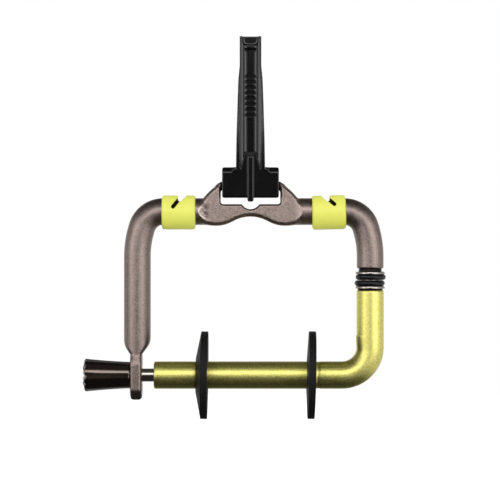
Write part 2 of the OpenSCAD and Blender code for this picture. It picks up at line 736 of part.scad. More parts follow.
// Stops
module rubber_stop(x, dish, lean) {
    // Dished disc whose hub lies that far before its rim, leaning a little on the bar
    hub_r = bar_d / 2 + stop_gap;
    color([0.1, 0.1, 0.1]) translate([x, frame_y, bar_z]) difference() {
        rotate([0, 90 + lean, 0]) rotate_extrude() polygon([
            [hub_r / 2, 0], [hub_r + stop_t / 2, 0], [stop_d / 2, dish],
            [stop_d / 2, dish + stop_t], [hub_r + stop_t / 2, stop_t], [hub_r / 2, stop_t]
        ]);
        rotate([0, 90, 0]) cylinder(r = hub_r, h = stop_d, center = true);
    }
}

module stop_left() { rubber_stop(stop_left_x, stop_left_dish, stop_left_lean); }

module stop_right() { rubber_stop(stop_right_x, stop_right_dish, stop_right_lean); }

frame();
line_guide_left();
line_guide_right();
rod_strap();
spool_bar();
swivel_pin();
neck_washer();
upper_washer();
upper_o_ring();
lower_o_ring();
lower_washer();
foot_washer();
swivel_bush();
pin_set_screw();
retaining_screw();
ear_bush();
end_bush();
lock_screw();
lock_knob();
knob_set_screw();
stop_left();
stop_right();
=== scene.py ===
# %% [markdown]
# # A fishing line winder, dressed in Blender
#
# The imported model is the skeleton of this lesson. It holds every piece at its real size, in metres, with
# +X along the spool bar, +Z up and the front facing -Y. Each step below takes one piece or one finish of
# the real winder, says what it is, and builds it from the places that the skeleton gives.

import json
import math

import bmesh
import bpy
import numpy as np
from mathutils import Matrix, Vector


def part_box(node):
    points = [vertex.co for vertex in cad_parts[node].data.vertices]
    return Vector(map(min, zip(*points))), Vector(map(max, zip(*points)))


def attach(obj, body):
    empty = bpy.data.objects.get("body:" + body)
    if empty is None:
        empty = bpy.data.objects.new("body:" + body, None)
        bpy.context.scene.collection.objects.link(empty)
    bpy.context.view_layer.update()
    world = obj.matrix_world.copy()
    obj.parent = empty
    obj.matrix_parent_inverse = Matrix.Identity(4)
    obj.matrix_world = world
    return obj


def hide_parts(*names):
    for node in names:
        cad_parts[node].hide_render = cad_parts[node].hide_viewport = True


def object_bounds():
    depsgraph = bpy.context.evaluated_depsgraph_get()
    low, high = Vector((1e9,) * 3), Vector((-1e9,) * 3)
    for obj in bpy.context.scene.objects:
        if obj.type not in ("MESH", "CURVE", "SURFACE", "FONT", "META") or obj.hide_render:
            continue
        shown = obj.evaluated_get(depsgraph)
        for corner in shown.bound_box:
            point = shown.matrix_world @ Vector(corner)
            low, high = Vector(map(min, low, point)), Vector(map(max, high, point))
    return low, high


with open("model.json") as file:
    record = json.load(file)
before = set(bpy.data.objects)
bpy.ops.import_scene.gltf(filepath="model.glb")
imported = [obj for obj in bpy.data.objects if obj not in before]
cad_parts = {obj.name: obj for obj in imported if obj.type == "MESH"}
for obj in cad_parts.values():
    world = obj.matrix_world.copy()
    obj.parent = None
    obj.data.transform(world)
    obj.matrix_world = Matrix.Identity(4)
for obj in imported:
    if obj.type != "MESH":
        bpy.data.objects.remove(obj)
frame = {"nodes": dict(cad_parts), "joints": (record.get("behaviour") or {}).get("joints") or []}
cad_low, cad_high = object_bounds()
nodes = frame["nodes"]
print("nodes:", len(nodes), "size in mm:", [round(1000 * s, 1) for s in cad_high - cad_low])

# %% [markdown]
# ## Places
#
# Every piece hangs on a few lines: the strap's hinge, the axis of the spool bar and the axis of the
# swivel. They are read from the joints and from the boxes of the nodes, so nothing is typed twice.

# %% Lines that the pieces are built on
MM = 0.001
TOP_Z = -7.6


def middle(node):
    low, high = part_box(node)
    return (low + high) / 2


joints = {joint["name"]: joint for joint in frame["joints"]}
hinge = Vector(joints["strap_swing"]["pos_m"])
swivel = Vector(joints["bar_swing"]["pos_m"])
bar_line = middle("lock_screw")
print("bar axis y, z in mm:", round(bar_line.y / MM, 2), round(bar_line.z / MM, 2))

# %% [markdown]
# ## Camera
#
# The photograph was taken from straight ahead through a long lens, so that parallel bars stay parallel.
# A pixel of it covers 0.29 mm at the frame, which sets the lens for a camera 0.7 m away.

# %% Camera
PIXEL = 0.29 * MM
IMAGE_SIDE = 500
CAMERA_AWAY = 0.7
SENSOR = 36.0
PICTURE_X = -0.145 * MM
PICTURE_Z = -18.74 * MM
view_centre = Vector((PICTURE_X, bar_line.y, PICTURE_Z))

camera_data = bpy.data.cameras.new("camera")
camera_data.sensor_width = SENSOR
camera_data.lens = SENSOR * CAMERA_AWAY / (PIXEL * IMAGE_SIDE)
camera = bpy.data.objects.new("camera", camera_data)
bpy.context.scene.collection.objects.link(camera)
camera.location = view_centre - Vector((0, CAMERA_AWAY, 0))
camera.rotation_euler = (math.pi / 2, 0, 0)
bpy.context.scene.camera = camera
bpy.context.scene.view_settings.view_transform = "Standard"
print("lens in mm:", round(camera_data.lens))

# %% [markdown]
# ## Shader maths
#
# A material is a small program. Written as nodes one by one it is hard to read, so a socket is wrapped
# in a class whose operators add the Math nodes: `1 - mask * 0.5` then means what it says. Every other
# node comes from one method, which sets the node up first and fills its sockets afterwards.


# %% A socket that can be calculated with
class Wire:
    """The output of a node. Sums and products of wires and numbers add Math nodes."""

    def __init__(self, finish, socket):
        self.finish = finish
        self.socket = socket

    def maths(self, operation, first, second):
        return self.finish.node("ShaderNodeMath", {"operation": operation}, {0: first, 1: second})

    def __add__(self, other):
        return self.maths("ADD", self, other)

    def __radd__(self, other):
        return self.maths("ADD", other, self)

    def __sub__(self, other):
        return self.maths("SUBTRACT", self, other)

    def __rsub__(self, other):
        return self.maths("SUBTRACT", other, self)

    def __mul__(self, other):
        return self.maths("MULTIPLY", self, other)

    def __rmul__(self, other):
        return self.maths("MULTIPLY", other, self)

    def __gt__(self, other):
        return self.maths("GREATER_THAN", self, other)


class Finish:
    """A material under construction."""

    def __init__(self, tree):
        self.tree = tree
        tree.nodes.clear()

    def node(self, kind, settings=None, inputs=None, output=0):
        made = self.tree.nodes.new(kind)
        for name, value in (settings or {}).items():
            if name == "stops":
                self.set_stops(made.color_ramp.elements, value)
            else:
                setattr(made, name, value)
        for name, value in (inputs or {}).items():
            if isinstance(value, Wire):
                self.tree.links.new(value.socket, made.inputs[name])
            else:
                made.inputs[name].default_value = value
        return Wire(self, made.outputs[output]) if made.outputs else made

    def set_stops(self, elements, stops):
        for _ in stops[2:]:
            elements.new(0.5)
        for element, (position, shade) in zip(elements, stops):
            element.position = position
            element.color = shade if hasattr(shade, "__len__") else (shade, shade, shade, 1)

    def ramp(self, value, *stops):
        return self.node("ShaderNodeValToRGB", {"stops": stops}, {0: value})

    def band(self, value, start, full, fade, end):
        """1 from full to fade, sinking to 0 at start and at end."""
        levels = zip((start, full, fade, end), (0, 1, 1, 0))
        stops = [((place - start) / (end - start), level) for place, level in levels]
        return self.ramp((value - start) * (1 / (end - start)), *stops)

    def place(self):
        """Position on the piece in metres, which moves with the piece."""
        return self.node("ShaderNodeTexCoord", output="Object")

    def axis(self, vector, index):
        """One coordinate of a vector: 0, 1 or 2 for x, y or z."""
        return self.node("ShaderNodeSeparateXYZ", inputs={0: vector}, output=index)

    def noise(self, size, detail=2.0, roughness=0.5, place=None):
        """Cloudy values round 0.5, with lumps of about that size in metres."""
        return self.node("ShaderNodeTexNoise", inputs={
            "Vector": place or self.place(), "Scale": 1 / size, "Detail": detail, "Roughness": roughness,
        })

    def specks(self, size):
        """One random value for each cell of about that size in metres."""
        inputs = {"Vector": self.place(), "Scale": 1 / size}
        cells = self.node("ShaderNodeTexVoronoi", inputs=inputs, output="Color")
        return self.node("ShaderNodeSeparateColor", inputs={0: cells})

    def mix(self, factor, first, second):
        """One colour laid over another."""
        inputs = {0: factor, 6: first, 7: second}
        return self.node("ShaderNodeMix", {"data_type": "RGBA"}, inputs, output=2)

    def bump(self, height, depth):
        return self.node("ShaderNodeBump", inputs={"Height": height, "Distance": depth})

    def surface(self, **inputs):
        inputs = {name.replace("_", " "): value for name, value in inputs.items()}
        shader = self.node("ShaderNodeBsdfPrincipled", inputs=inputs)
        self.node("ShaderNodeOutputMaterial", inputs={"Surface": shader})


def new_finish(name):
    material = bpy.data.materials.new(name)
    material.use_nodes = True
    return material, Finish(material.node_tree)


def colour(red, green, blue):
    """A colour as it reads on a screen, from 0 to 255, in the linear values that shaders use."""
    channels = (red, green, blue)
    return tuple(((c / 255 + 0.055) / 1.055) ** 2.4 if c > 10 else c / 3295 for c in channels) + (1,)


def darker(shade, share):
    return tuple(channel * share for channel in shade[:3]) + (1,)


print("a mid grey is", round(colour(128, 128, 128)[0], 3))

# %% [markdown]
# ## The studio
#
# The winder was photographed on plain white, and its bars show what stood round it: a tent of white cloth
# with the lens in a small dark opening, brightest at the height of the object and dim above and below.
# Such a tent could be a mesh, but rays are cheaper when the world itself is the tent, so two ramps describe
# it: one from front to back, one from floor to roof. Only what glints sees it. The camera sees plain white,
# matt surfaces get an even light, and three softboxes shape them: one on each side and one above the lens.

# %% World
ROOM_LIGHT = 0.94
DARK = 0.03
TENT_LIGHT = 1.9
FRONT_TO_BACK = (0.005, DARK), (0.018, 1.0), (0.25, 0.9), (0.5, 0.45), (0.8, 0.4), (1, 0.6)
FLOOR_TO_ROOF = (
    (0.1, 0.04), (0.27, 0.25), (0.36, 0.9), (0.46, 1), (0.56, 0.9), (0.7, 0.42), (0.82, 0.15), (1, 0.02),
)
WHITE = (1, 1, 1, 1)
scene_world = bpy.data.worlds.new("studio")
scene_world.use_nodes = True
bpy.context.scene.world = scene_world
room = Finish(scene_world.node_tree)
direction = room.node("ShaderNodeTexCoord", output="Generated")
tent_depth = room.ramp(room.axis(direction, 1) * 0.5 + 0.5, *FRONT_TO_BACK)
tent_height = room.ramp(room.axis(direction, 2) * 0.5 + 0.5, *FLOOR_TO_ROOF)
seen = room.node("ShaderNodeLightPath", output="Is Camera Ray")
glinting = room.node("ShaderNodeLightPath", output="Is Glossy Ray")
even_light = (ROOM_LIGHT, ROOM_LIGHT, ROOM_LIGHT, 1)
lighting = room.mix(glinting, even_light, tent_depth * tent_height * TENT_LIGHT)
shown = room.mix(seen, lighting, WHITE)
background = room.node("ShaderNodeBackground", inputs={"Color": shown, "Strength": 1.0})
room.node("ShaderNodeOutputWorld", inputs={"Surface": background})
print("room light:", ROOM_LIGHT, "tent light:", TENT_LIGHT)

# %% [markdown]
# ## The floor and the lamps
#
# The floor is a sheet of white paper. To the camera it glows a little, so that it stays white under the
# object's soft shadow. What glints sees it dim in front of the object and bright behind it and on the
# right, which is what lights the outside of the gold elbow in the photograph. The softboxes are area
# lights that the camera doesn't see, placed by their angles round the object.

# %% Floor
FLOOR_DROP = 26 * MM
FLOOR_REACH = 0.55
floor_mesh = bpy.data.meshes.new("floor")
floor_form = bmesh.new()
bmesh.ops.create_circle(floor_form, cap_ends=True, segments=96, radius=FLOOR_REACH)
floor_form.to_mesh(floor_mesh)
floor_form.free()
floor = bpy.data.objects.new("floor", floor_mesh)
bpy.context.scene.collection.objects.link(floor)
floor.location = (0, 0, cad_low.z - FLOOR_DROP)

floor_material, paper = new_finish("white_paper")
PALE = (0.7, 0.7, 0.7, 1)
GLOW = 0.6
paper_seen = paper.node("ShaderNodeLightPath", output="Is Camera Ray")
mirrored_paper = paper.node("ShaderNodeLightPath", output="Is Glossy Ray")
glow = paper.node("ShaderNodeEmission", inputs={"Color": WHITE, "Strength": paper_seen * GLOW})
face = paper.node("ShaderNodeBsdfDiffuse", inputs={"Color": PALE})
lit = paper.node("ShaderNodeAddShader", inputs={0: glow, 1: face})
glint = paper.ramp(paper.axis(paper.place(), 1) + 0.5, (0.5, DARK), (0.54, 0.2), (0.7, 0.9))
on_the_right = paper.ramp(paper.axis(paper.place(), 0) * 4, (0.24, 0), (0.36, 1))
glint = paper.mix(on_the_right, glint, PALE)
image = paper.node("ShaderNodeEmission", inputs={"Color": glint, "Strength": 1.0})
both = paper.node("ShaderNodeMixShader", inputs={0: mirrored_paper, 1: lit, 2: image})
paper.node("ShaderNodeOutputMaterial", inputs={"Surface": both})
floor_mesh.materials.append(floor_material)
print("floor at z in mm:", round(floor.location.z / MM, 1))


# %% Lamps
LAMP_AWAY = 0.8


def softbox(name, azimuth, elevation, width, height, power):
    """A soft light that faces the object. Azimuth 0 is at the camera, 90 on the right."""
    lamp_data = bpy.data.lights.new(name, "AREA")
    lamp_data.shape = "RECTANGLE"
    lamp_data.size = width
    lamp_data.size_y = height
    lamp_data.energy = power
    lamp = bpy.data.objects.new(name, lamp_data)
    bpy.context.scene.collection.objects.link(lamp)
    turn, rise = math.radians(azimuth), math.radians(elevation)
    toward = Vector((math.sin(turn) * math.cos(rise), -math.cos(turn) * math.cos(rise), math.sin(rise)))
    lamp.location = view_centre + toward * LAMP_AWAY
    lamp.rotation_euler = toward.to_track_quat("Z", "Y").to_euler()
    lamp.visible_camera = False


softbox("left_softbox", -52, 5, 0.26, 0.5, 0.7)
softbox("right_softbox", 44, 5, 0.4, 0.5, 0.8)
softbox("top_softbox", 0, 24, 0.7, 0.36, 1.5)

# %% [markdown]
# ## Blasted and dyed metal
#
# The frame and the spool bar are aluminium, blasted before it was dyed, so the metal is satin and full of
# tiny facets that catch the light one by one. A noise of a few tenths of a millimetre roughens it, and
# random cells make single grains lighter or darker. The colour varies with the same two patterns as the
# bump, because a facet that tips towards the light is also the one that looks pale.


# %% Blasted metal
# A pale bare-metal colour, laid on the frame's rim as a painted highlight.
PAINTED_HIGHLIGHT = colour(250, 236, 228)


def blasted_metal(name, dye, pale_dye, grain, roughness, marks_with_light=None):
    material, finish = new_finish(name)
    clouds = finish.noise(2.4 * MM, 3.0, 0.6)
    fine = finish.noise(grain, 3.0, 0.7)
    facets = finish.specks(grain)
    tone = finish.ramp(fine * 0.7 + clouds * 0.05 + facets * 0.35, (0.3, dye), (0.8, pale_dye))
    # The marks darken the metal, painted shade among them, and lay on a painted highlight in bare-metal
    # colour.
    if marks_with_light:
        dark, rim_highlight = marks_with_light(finish)
        tone = finish.mix(dark, tone, darker(dye, 0.15))
        tone = finish.mix(rim_highlight, tone, PAINTED_HIGHLIGHT)
    rough = roughness + (clouds - 0.5) * 0.04 + (facets - 0.5) * 0.1
    grains = finish.bump(fine * 0.6 + facets * 0.4, grain * 0.03)
    finish.surface(Base_Color=tone, Metallic=1.0, Roughness=rough, Normal=grains)
    return material


gold = blasted_metal("gold_anodised", colour(206, 196, 84), colour(244, 238, 156), 0.28 * MM, 0.4)

# %% [markdown]
# ## Marks on the frame
#
# The frame isn't the same all over. It is a little darker beyond the guides, on its bends and arms, than on
# the saddle, and painted shade darkens the bar under the guides and at the bottom of their slots. Where the
# cutter ran out at the saddle's left end it left short dark smears, and the crescent of the rim there gets
# a painted highlight in a pale bare-metal colour, with a faint one at the right end. All of these lie at
# places along the bar, so they are masks on the piece's own coordinates and swing with it.

# %% Masks for the frame
GUIDE_PLACES = [middle("line_guide_" + side).x / MM for side in ("left", "right")]
GUIDE_REACH = 4.5
SLOT_PAINTED_SHADE = 0.95
ARMS_FROM = 21.0
ARMS_DARK = 0.2
SMEARS_DARK = 0.7
SMEARS_X = (-14.5, -13.9, -12.7, -11.8)
SMEARS_Z = (-10.333, -9.0, -6.0, -4.667)
FRONT_AT = 8.0
RIM_X = 15.0
RIM_HALF = 0.2
RIM_CURVE = 0.48
RIM_ENDS = (-2.7, 1.4)
RIM_HIGHLIGHT_SHARES = (0.4, 0.08)


def between(value, low, high):
    """1 where a value lies between two limits, 0 elsewhere."""
    return (value > low) * (high - value > 0)


def frame_marks_and_painted_light(finish):
    """How much darker the frame is at each place, painted shade in the guides' slots among it, and how much
    painted highlight its rim gets.
    """
    along, deep, height = [finish.axis(finish.place(), axis) * (1 / MM) for axis in range(3)]
    front = deep * -1 > FRONT_AT
    smeared = finish.band(along, *SMEARS_X) * finish.band(height, *SMEARS_Z) * front
    stretched = {"Vector": finish.place(), "Scale": (0.35, 0.35, 1)}
    smears = finish.noise(0.5 * MM, 3.0, 0.6, finish.node("ShaderNodeMapping", inputs=stretched))
    dark = smeared * finish.ramp(smears, (0.42, 0), (0.58, 1)) * SMEARS_DARK
    up = height - TOP_Z
    rim_highlight = 0
    for side, place, share in zip((-1, 1), GUIDE_PLACES, RIM_HIGHLIGHT_SHARES):
        # Painted shade: the bar is darkened under each guide and at the bottom of its slot.
        in_slot = between(along, place - GUIDE_REACH, place + GUIDE_REACH) * (up > -GUIDE_REACH)
        dark = dark + in_slot * SLOT_PAINTED_SHADE + (along * side > ARMS_FROM) * ARMS_DARK
        # Painted highlight: a thin pale crescent on the rim at each end of the saddle's flat, strong on the
        # left and faint on the right.
        rim = between(along * side + up * up * RIM_CURVE - RIM_X, -RIM_HALF, RIM_HALF)
        rim_highlight = rim * between(up, *RIM_ENDS) * front * share + rim_highlight
    return dark, rim_highlight


gunmetal_dyes = colour(128, 114, 108), colour(174, 157, 149)
gunmetal = blasted_metal("gunmetal", *gunmetal_dyes, 0.3 * MM, 0.4, frame_marks_and_painted_light)

# %% [markdown]
# ## Turned metal
#
# Screws, washers and bushes come off a lathe, whose tool leaves fine lines round the axis. A noise that is
# squeezed along the axis draws them. They are felt more than seen, so they feed the roughness and a very
# shallow bump, and slow smears keep the shade from being flat.


# %% Turned metal
def turned_metal(name, shade, roughness):
    material, finish = new_finish(name)
    squeezed = finish.node("ShaderNodeMapping", inputs={"Vector": finish.place(), "Scale": (12, 1, 1)})
    lines = finish.noise(0.3 * MM, 2.0, 0.5, squeezed)
    smears = finish.noise(1.1 * MM, 3.0)
    finish.surface(
        Base_Color=finish.mix(smears * 0.5, shade, darker(shade, 0.75)), Metallic=1.0,
        Roughness=roughness + (lines - 0.5) * 0.15, Normal=finish.bump(lines, 0.003 * MM),
    )
    return material


steel = turned_metal("steel", colour(188, 184, 178), 0.18)
black_nickel = turned_metal("black_nickel", colour(162, 156, 150), 0.16)
dark_steel = turned_metal("dark_steel", colour(34, 32, 32), 0.35)
brass = turned_metal("brass", colour(205, 170, 95), 0.28)

# %% [markdown]
# ## Rubber, plastic and lacquer
#
# A moulded piece has the mould's fine skin, and its gloss wanders a little where it was touched. The strap
# is the glossiest, so that its slopes draw thin light lines, and the stops are nearly matt. One function
# makes all five from a skin noise and slow blotches. The knob is dyed brown-black and polished under a
# clear coat, which gives it both the soft image of the metal and the sharp one of the coat.


# %% Rubber and plastic
def moulded(name, shade, pale, roughness, grain, depth, specular=0.5):
    material, finish = new_finish(name)
    skin = finish.noise(grain, 3.0, 0.6)
    blotches = finish.noise(3 * MM, 3.0)
    tone = finish.mix(skin * 0.6 + blotches * 0.4, shade, pale)
    finish.surface(
        Base_Color=tone, Roughness=(blotches * 0.4 + skin * 0.3 + 0.65) * roughness,
        Specular_IOR_Level=specular, Normal=finish.bump(skin, depth),
    )
    return material


def grey(value):
    return colour(value, value, value)


lime_dyes = colour(212, 214, 82), colour(224, 226, 104)
strap_rubber = moulded("strap_rubber", grey(8), grey(12), 0.13, 0.35 * MM, 0.0002 * MM, 0.45)
stop_rubber = moulded("stop_rubber", grey(14), grey(24), 0.6, 0.3 * MM, 0.006 * MM, 0.16)
ring_rubber = moulded("ring_rubber", grey(12), grey(18), 0.3, 0.3 * MM, 0.002 * MM, 0.3)
lime_plastic = moulded("lime_plastic", *lime_dyes, 0.42, 0.5 * MM, 0.004 * MM)
dark_plastic = moulded("dark_plastic", grey(30), grey(48), 0.5, 0.3 * MM, 0.004 * MM)


# %% Knob lacquer
knob_lacquer, lacquer = new_finish("knob_lacquer")
clouding = lacquer.noise(1.6 * MM, 3.0)
lacquer.surface(
    Base_Color=lacquer.mix(clouding, colour(96, 82, 75), colour(118, 103, 94)), Metallic=1.0,
    Roughness=0.16 + (clouding - 0.5) * 0.06, Coat_Weight=0.5 + (clouding - 0.5) * 0.2, Coat_Roughness=0.1,
)
print("finishes:", len(bpy.data.materials))

# %% [markdown]
# ## Forms from distances
#
# A forged or moulded piece has no sharp edge, and its parts run into each other with fillets. Bevels on a
# mesh full of cuts are hard to get right, so such a piece is described by a distance instead: a formula
# that says how many millimetres any point lies outside it. The smaller of two distances joins two forms,
# the larger one cuts them, and a soft minimum leaves a fillet or a rounded edge where they meet.


# %% Forms that can be joined and cut
DIAGONAL = 0.707


def soft_min(first, second, width):
    """The smaller of two distances, rounded over about that width where they are alike."""
    if not width:
        return np.minimum(first, second)
    near = np.maximum(width - abs(first - second), 0) / width
    return np.minimum(first, second) - near * near * width / 4


class Form:
    """A solid given by its distance in millimetres, which is below zero inside."""

    def __init__(self, distance):
        self.distance = distance

    def __call__(self, x, y, z):
        return self.distance(x, y, z)

    def join(self, other, fillet=0):
        return Form(lambda x, y, z: soft_min(self(x, y, z), other(x, y, z), fillet))

    def keep(self, other, edge=0):
        return Form(lambda x, y, z: -soft_min(-self(x, y, z), -other(x, y, z), edge))

    def bevel(self, other, size, edge=0.2):
        """What is inside both, with a flat bevel of that size along the edge between them."""
        slope = Form(lambda x, y, z: (self(x, y, z) + other(x, y, z) + size) * DIAGONAL)
        return self.keep(other).keep(slope, edge)

    def cut(self, other, edge=0):
        return Form(lambda x, y, z: -soft_min(-self(x, y, z), other(x, y, z), edge))


# %% Bars, planes, holes and prisms
def mirrored(form):
    return Form(lambda x, y, z: form(-x, y, z))


def middle_slab(half):
    """What lies within that distance of the middle, to the left and right."""
    return Form(lambda x, y, z: abs(x) - half)


def rod(start, end, radius):
    """A straight round bar with round ends."""
    start = np.array(start)
    run = np.array(end) - start

    def distance(x, y, z):
        along = ((x - start[0]) * run[0] + (y - start[1]) * run[1] + (z - start[2]) * run[2]) / (run @ run)
        along = np.clip(along, 0, 1)
        gaps = [value - s - along * r for value, s, r in zip((x, y, z), start, run)]
        return np.sqrt(gaps[0] ** 2 + gaps[1] ** 2 + gaps[2] ** 2) - radius

    return Form(distance)


def bend(centre, reach, radius, first, last):
    """A round bar bent round a centre in the frame's plane, between two angles in degrees."""
    middle_turn = math.radians(first + last) / 2
    half_turn = math.radians(last - first) / 2
    centre_x, centre_y, centre_z = centre

    def distance(x, y, z):
        turn = np.arctan2(z - centre_z, x - centre_x) - middle_turn
        turn = (turn + math.pi) % (2 * math.pi) - math.pi
        turn = np.clip(turn, -half_turn, half_turn) + middle_turn
        across = x - centre_x - reach * np.cos(turn)
        up = z - centre_z - reach * np.sin(turn)
        return np.sqrt(across ** 2 + (y - centre_y) ** 2 + up ** 2) - radius

    return Form(distance)


def below(normal, point):
    """Everything behind a plane that faces along normal and passes through point."""
    unit = np.array(normal) / np.linalg.norm(normal)
    level = unit @ np.array(point)
    return Form(lambda x, y, z: unit[0] * x + unit[1] * y + unit[2] * z - level)


def drill(axis, first, second, radius):
    """A round hole or shaft along x, y or z, through a place given by its other two coordinates."""
    if axis == "x":
        return Form(lambda x, y, z: np.hypot(y - first, z - second) - radius)
    if axis == "y":
        return Form(lambda x, y, z: np.hypot(x - first, z - second) - radius)
    return Form(lambda x, y, z: np.hypot(x - first, y - second) - radius)


def prism(points):
    """What lies inside a convex outline in x and z, given anticlockwise, at any y."""
    sides = [below((end[1] - start[1], 0, start[0] - end[0]), (start[0], 0, start[1]))
             for start, end in zip(points, points[1:] + points[:1])]
    inside = sides[0]
    for side in sides[1:]:
        inside = inside.keep(side)
    return inside


print("a rod of 4 mm is", rod((0, 0, 0), (9, 0, 0), 4)(5.0, 0.0, 6.0), "mm from a point 6 mm off its axis")

# %% [markdown]
# ## A skin over a form
#
# The mesh comes from a grid of distances. Wherever the sign changes between two neighbours, the surface
# passes between them, and each such place becomes a face. The points are then slid along the slope of the
# distance until they lie exactly on the form, so that long highlights run true. Only blocks of the grid
# that the surface passes through are worked out.

# %% Distances on a grid
BLOCK = 16


def fill_grid(form, low, cells, step):
    """Distances on a grid. Blocks away from the surface only get their sign."""
    field = np.ones(cells + 1, np.float32)
    corners = np.meshgrid(*(np.arange(0, count, BLOCK) for count in cells), indexing="ij")
    corners = np.stack(corners, -1).reshape(-1, 3)
    depths = form(*(low + (corners + BLOCK / 2) * step).T)
    reach = BLOCK * step.max()
    for corner, depth in zip(corners, depths):
        place = tuple(slice(c, c + BLOCK + 1) for c in corner)
        if abs(depth) > reach:
            field[place] = min(1, max(-1, depth))
            continue
        axes = [low[a] + (corner[a] + np.arange(BLOCK + 1)) * step[a] for a in range(3)]
        field[place] = form(*np.meshgrid(*axes, indexing="ij", sparse=True))
    return field


# %% Where the surface crosses the grid
def crossings(field):
    """For each axis: the grid edges that the surface crosses, how far along, and which way it faces."""
    inside = field < 0
    for axis in range(3):
        here = tuple(slice(None, -1) if a == axis else slice(None) for a in range(3))
        there = tuple(slice(1, None) if a == axis else slice(None) for a in range(3))
        edges = np.argwhere(inside[here] != inside[there])
        ends = edges.copy()
        ends[:, axis] += 1
        first, second = field[tuple(edges.T)], field[tuple(ends.T)]
        yield axis, edges, first / (first - second), first < 0


# %% Slide points onto the surface
SETTLE_ROUNDS = 3
LEAST_SLOPE = 0.2


def slopes(form, points, probe):
    """The direction in which the distance grows at each point."""
    return np.stack([
        form(*(points + probe * axis).T) - form(*(points - probe * axis).T) for axis in np.eye(3)
    ], 1) / (2 * probe)


def settle(form, points, step):
    """Slides points along the slope of the distance until they lie on the form."""
    for _ in range(SETTLE_ROUNDS):
        slope = slopes(form, points, step / 10)
        move = form(*points.T) / np.maximum((slope ** 2).sum(1), LEAST_SLOPE)
        points = points - np.clip(move, -step / 2, step / 2)[:, None] * slope
    return points


# %% Lay a mesh over a form
def skin(name, form, low, high, step):
    """A mesh over the form's surface, between two corners in millimetres. The step may differ by axis."""
    low = np.array(low, float)
    step = np.ones(3) * step
    cells = np.ceil((np.array(high) - low) / step / BLOCK).astype(int) * BLOCK
    field = fill_grid(form, low, cells, step)
    owners, places = [], []
    for axis, edges, share, outward in crossings(field):
        crossing = edges.astype(float)
        crossing[:, axis] += share
        beside, above = (axis + 1) % 3, (axis + 2) % 3
        around = []
        for back_beside, back_above in ((1, 1), (0, 1), (0, 0), (1, 0)):
            cell = edges.copy()
            cell[:, beside] -= back_beside
            cell[:, above] -= back_above
            around.append(np.ravel_multi_index(cell.T, cells + 1))
        around = np.stack(around, 1)
        around[~outward] = around[~outward][:, ::-1]
        owners.append(around)
        places.append(np.repeat(crossing, 4, 0))
    owners = np.concatenate(owners)
    faces = np.unique(owners, return_inverse=True)[1].reshape(-1, 4)
    places = np.concatenate(places)
    share = np.bincount(faces.ravel())
    points = np.stack([np.bincount(faces.ravel(), places[:, a]) / share for a in range(3)], 1)
    points = settle(form, low + points * step, step.min())
    mesh = bpy.data.meshes.new(name)
    mesh.from_pydata((points * MM).tolist(), [], faces.tolist())
    mesh.shade_smooth()
    mesh.normals_split_custom_set_from_vertices(slopes(form, points, step.min() / 4).tolist())
    print(name, "has", len(mesh.polygons), "faces")
    return mesh


# %% [markdown]
# ## Pieces on their bodies
#
# Each visible piece rides on the body that carries its solid, so that it swings or slides with it. It takes
# the place of that solid, which is hidden.


# %% Put a piece in the scene
MARGIN = 0.6


def add_piece(name, mesh, finish, body, replaced):
    """An object that rides on a body and takes the place of a solid."""
    piece = bpy.data.objects.new(name, mesh)
    bpy.context.scene.collection.objects.link(piece)
    mesh.materials.append(finish)
    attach(piece, body)
    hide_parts(replaced)


def box_of(node):
    """The two corners of a solid's box, in millimetres."""
    return [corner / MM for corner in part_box(node)]


def add_form(name, form, step, finish, body, replaced):
    """Lays a skin over a form, in the room that the solid takes up, and adds it."""
    low, high = [np.array(corner) for corner in box_of(replaced)]
    add_piece(name, skin(name, form, low - MARGIN, high + MARGIN, step), finish, body, replaced)


# %% [markdown]
# ## Turned pieces
#
# Washers, O-rings, the lock screw and the rubber stops are round all the way, so each is a small outline
# turned about its axis, as on a lathe. The outline's corners are rounded first: a real edge is never
# perfectly sharp, and it is the edge that draws the thin bright line in a photograph.

# %% Turn an outline about an axis
TURN_STEPS = 96
CORNER_STEPS = 4
CORNER_SHARE = 0.45
WELD = 0.0005 * MM


def round_corners(outline, radius):
    """The outline with each corner replaced by a short curve."""
    points = []
    for before, corner, after in zip(outline[-1:] + outline[:-1], outline, outline[1:] + outline[:1]):
        corner = Vector(corner)
        arms = [Vector(end) - corner for end in (before, after)]
        first, last = [corner + arm.normalized() * min(radius, arm.length * CORNER_SHARE) for arm in arms]
        for step in range(CORNER_STEPS + 1):
            share = step / CORNER_STEPS
            points.append(first.lerp(corner, share).lerp(corner.lerp(last, share), share))
    return points


def turned(name, outline, origin, direction):
    """Turns an outline of (along the axis, away from it) points into a closed mesh. Millimetres."""
    turn = Vector(direction).to_track_quat("Z", "Y").to_matrix()
    angles = [2 * math.pi * i / TURN_STEPS for i in range(TURN_STEPS)]
    points = [turn @ Vector((away * math.cos(a), away * math.sin(a), along)) + Vector(origin)
              for a in angles for along, away in outline]
    count = len(outline)
    faces = []
    for i in range(TURN_STEPS):
        here, there = i * count, (i + 1) % TURN_STEPS * count
        for j in range(count):
            k = (j + 1) % count
            faces.append((here + j, there + j, there + k, here + k))
    mesh = bpy.data.meshes.new(name)
    mesh.from_pydata([p * MM for p in points], [], faces)
    form = bmesh.new()
    form.from_mesh(mesh)
    bmesh.ops.remove_doubles(form, verts=form.verts, dist=WELD)
    bmesh.ops.recalc_face_normals(form, faces=form.faces)
    form.to_mesh(mesh)
    form.free()
    mesh.shade_smooth()
    return mesh


# %% [markdown]
# ## The frame
#
# The frame is one round bar, bent twice, whose middle was forged flat into a saddle and pierced for the
# strap. Each corner is a tight bend that runs out into an easy one. A curve with a bevel could make the
# bar, but not its blends with the saddle and the ear, so all of it is one form, joined from rods and bends.

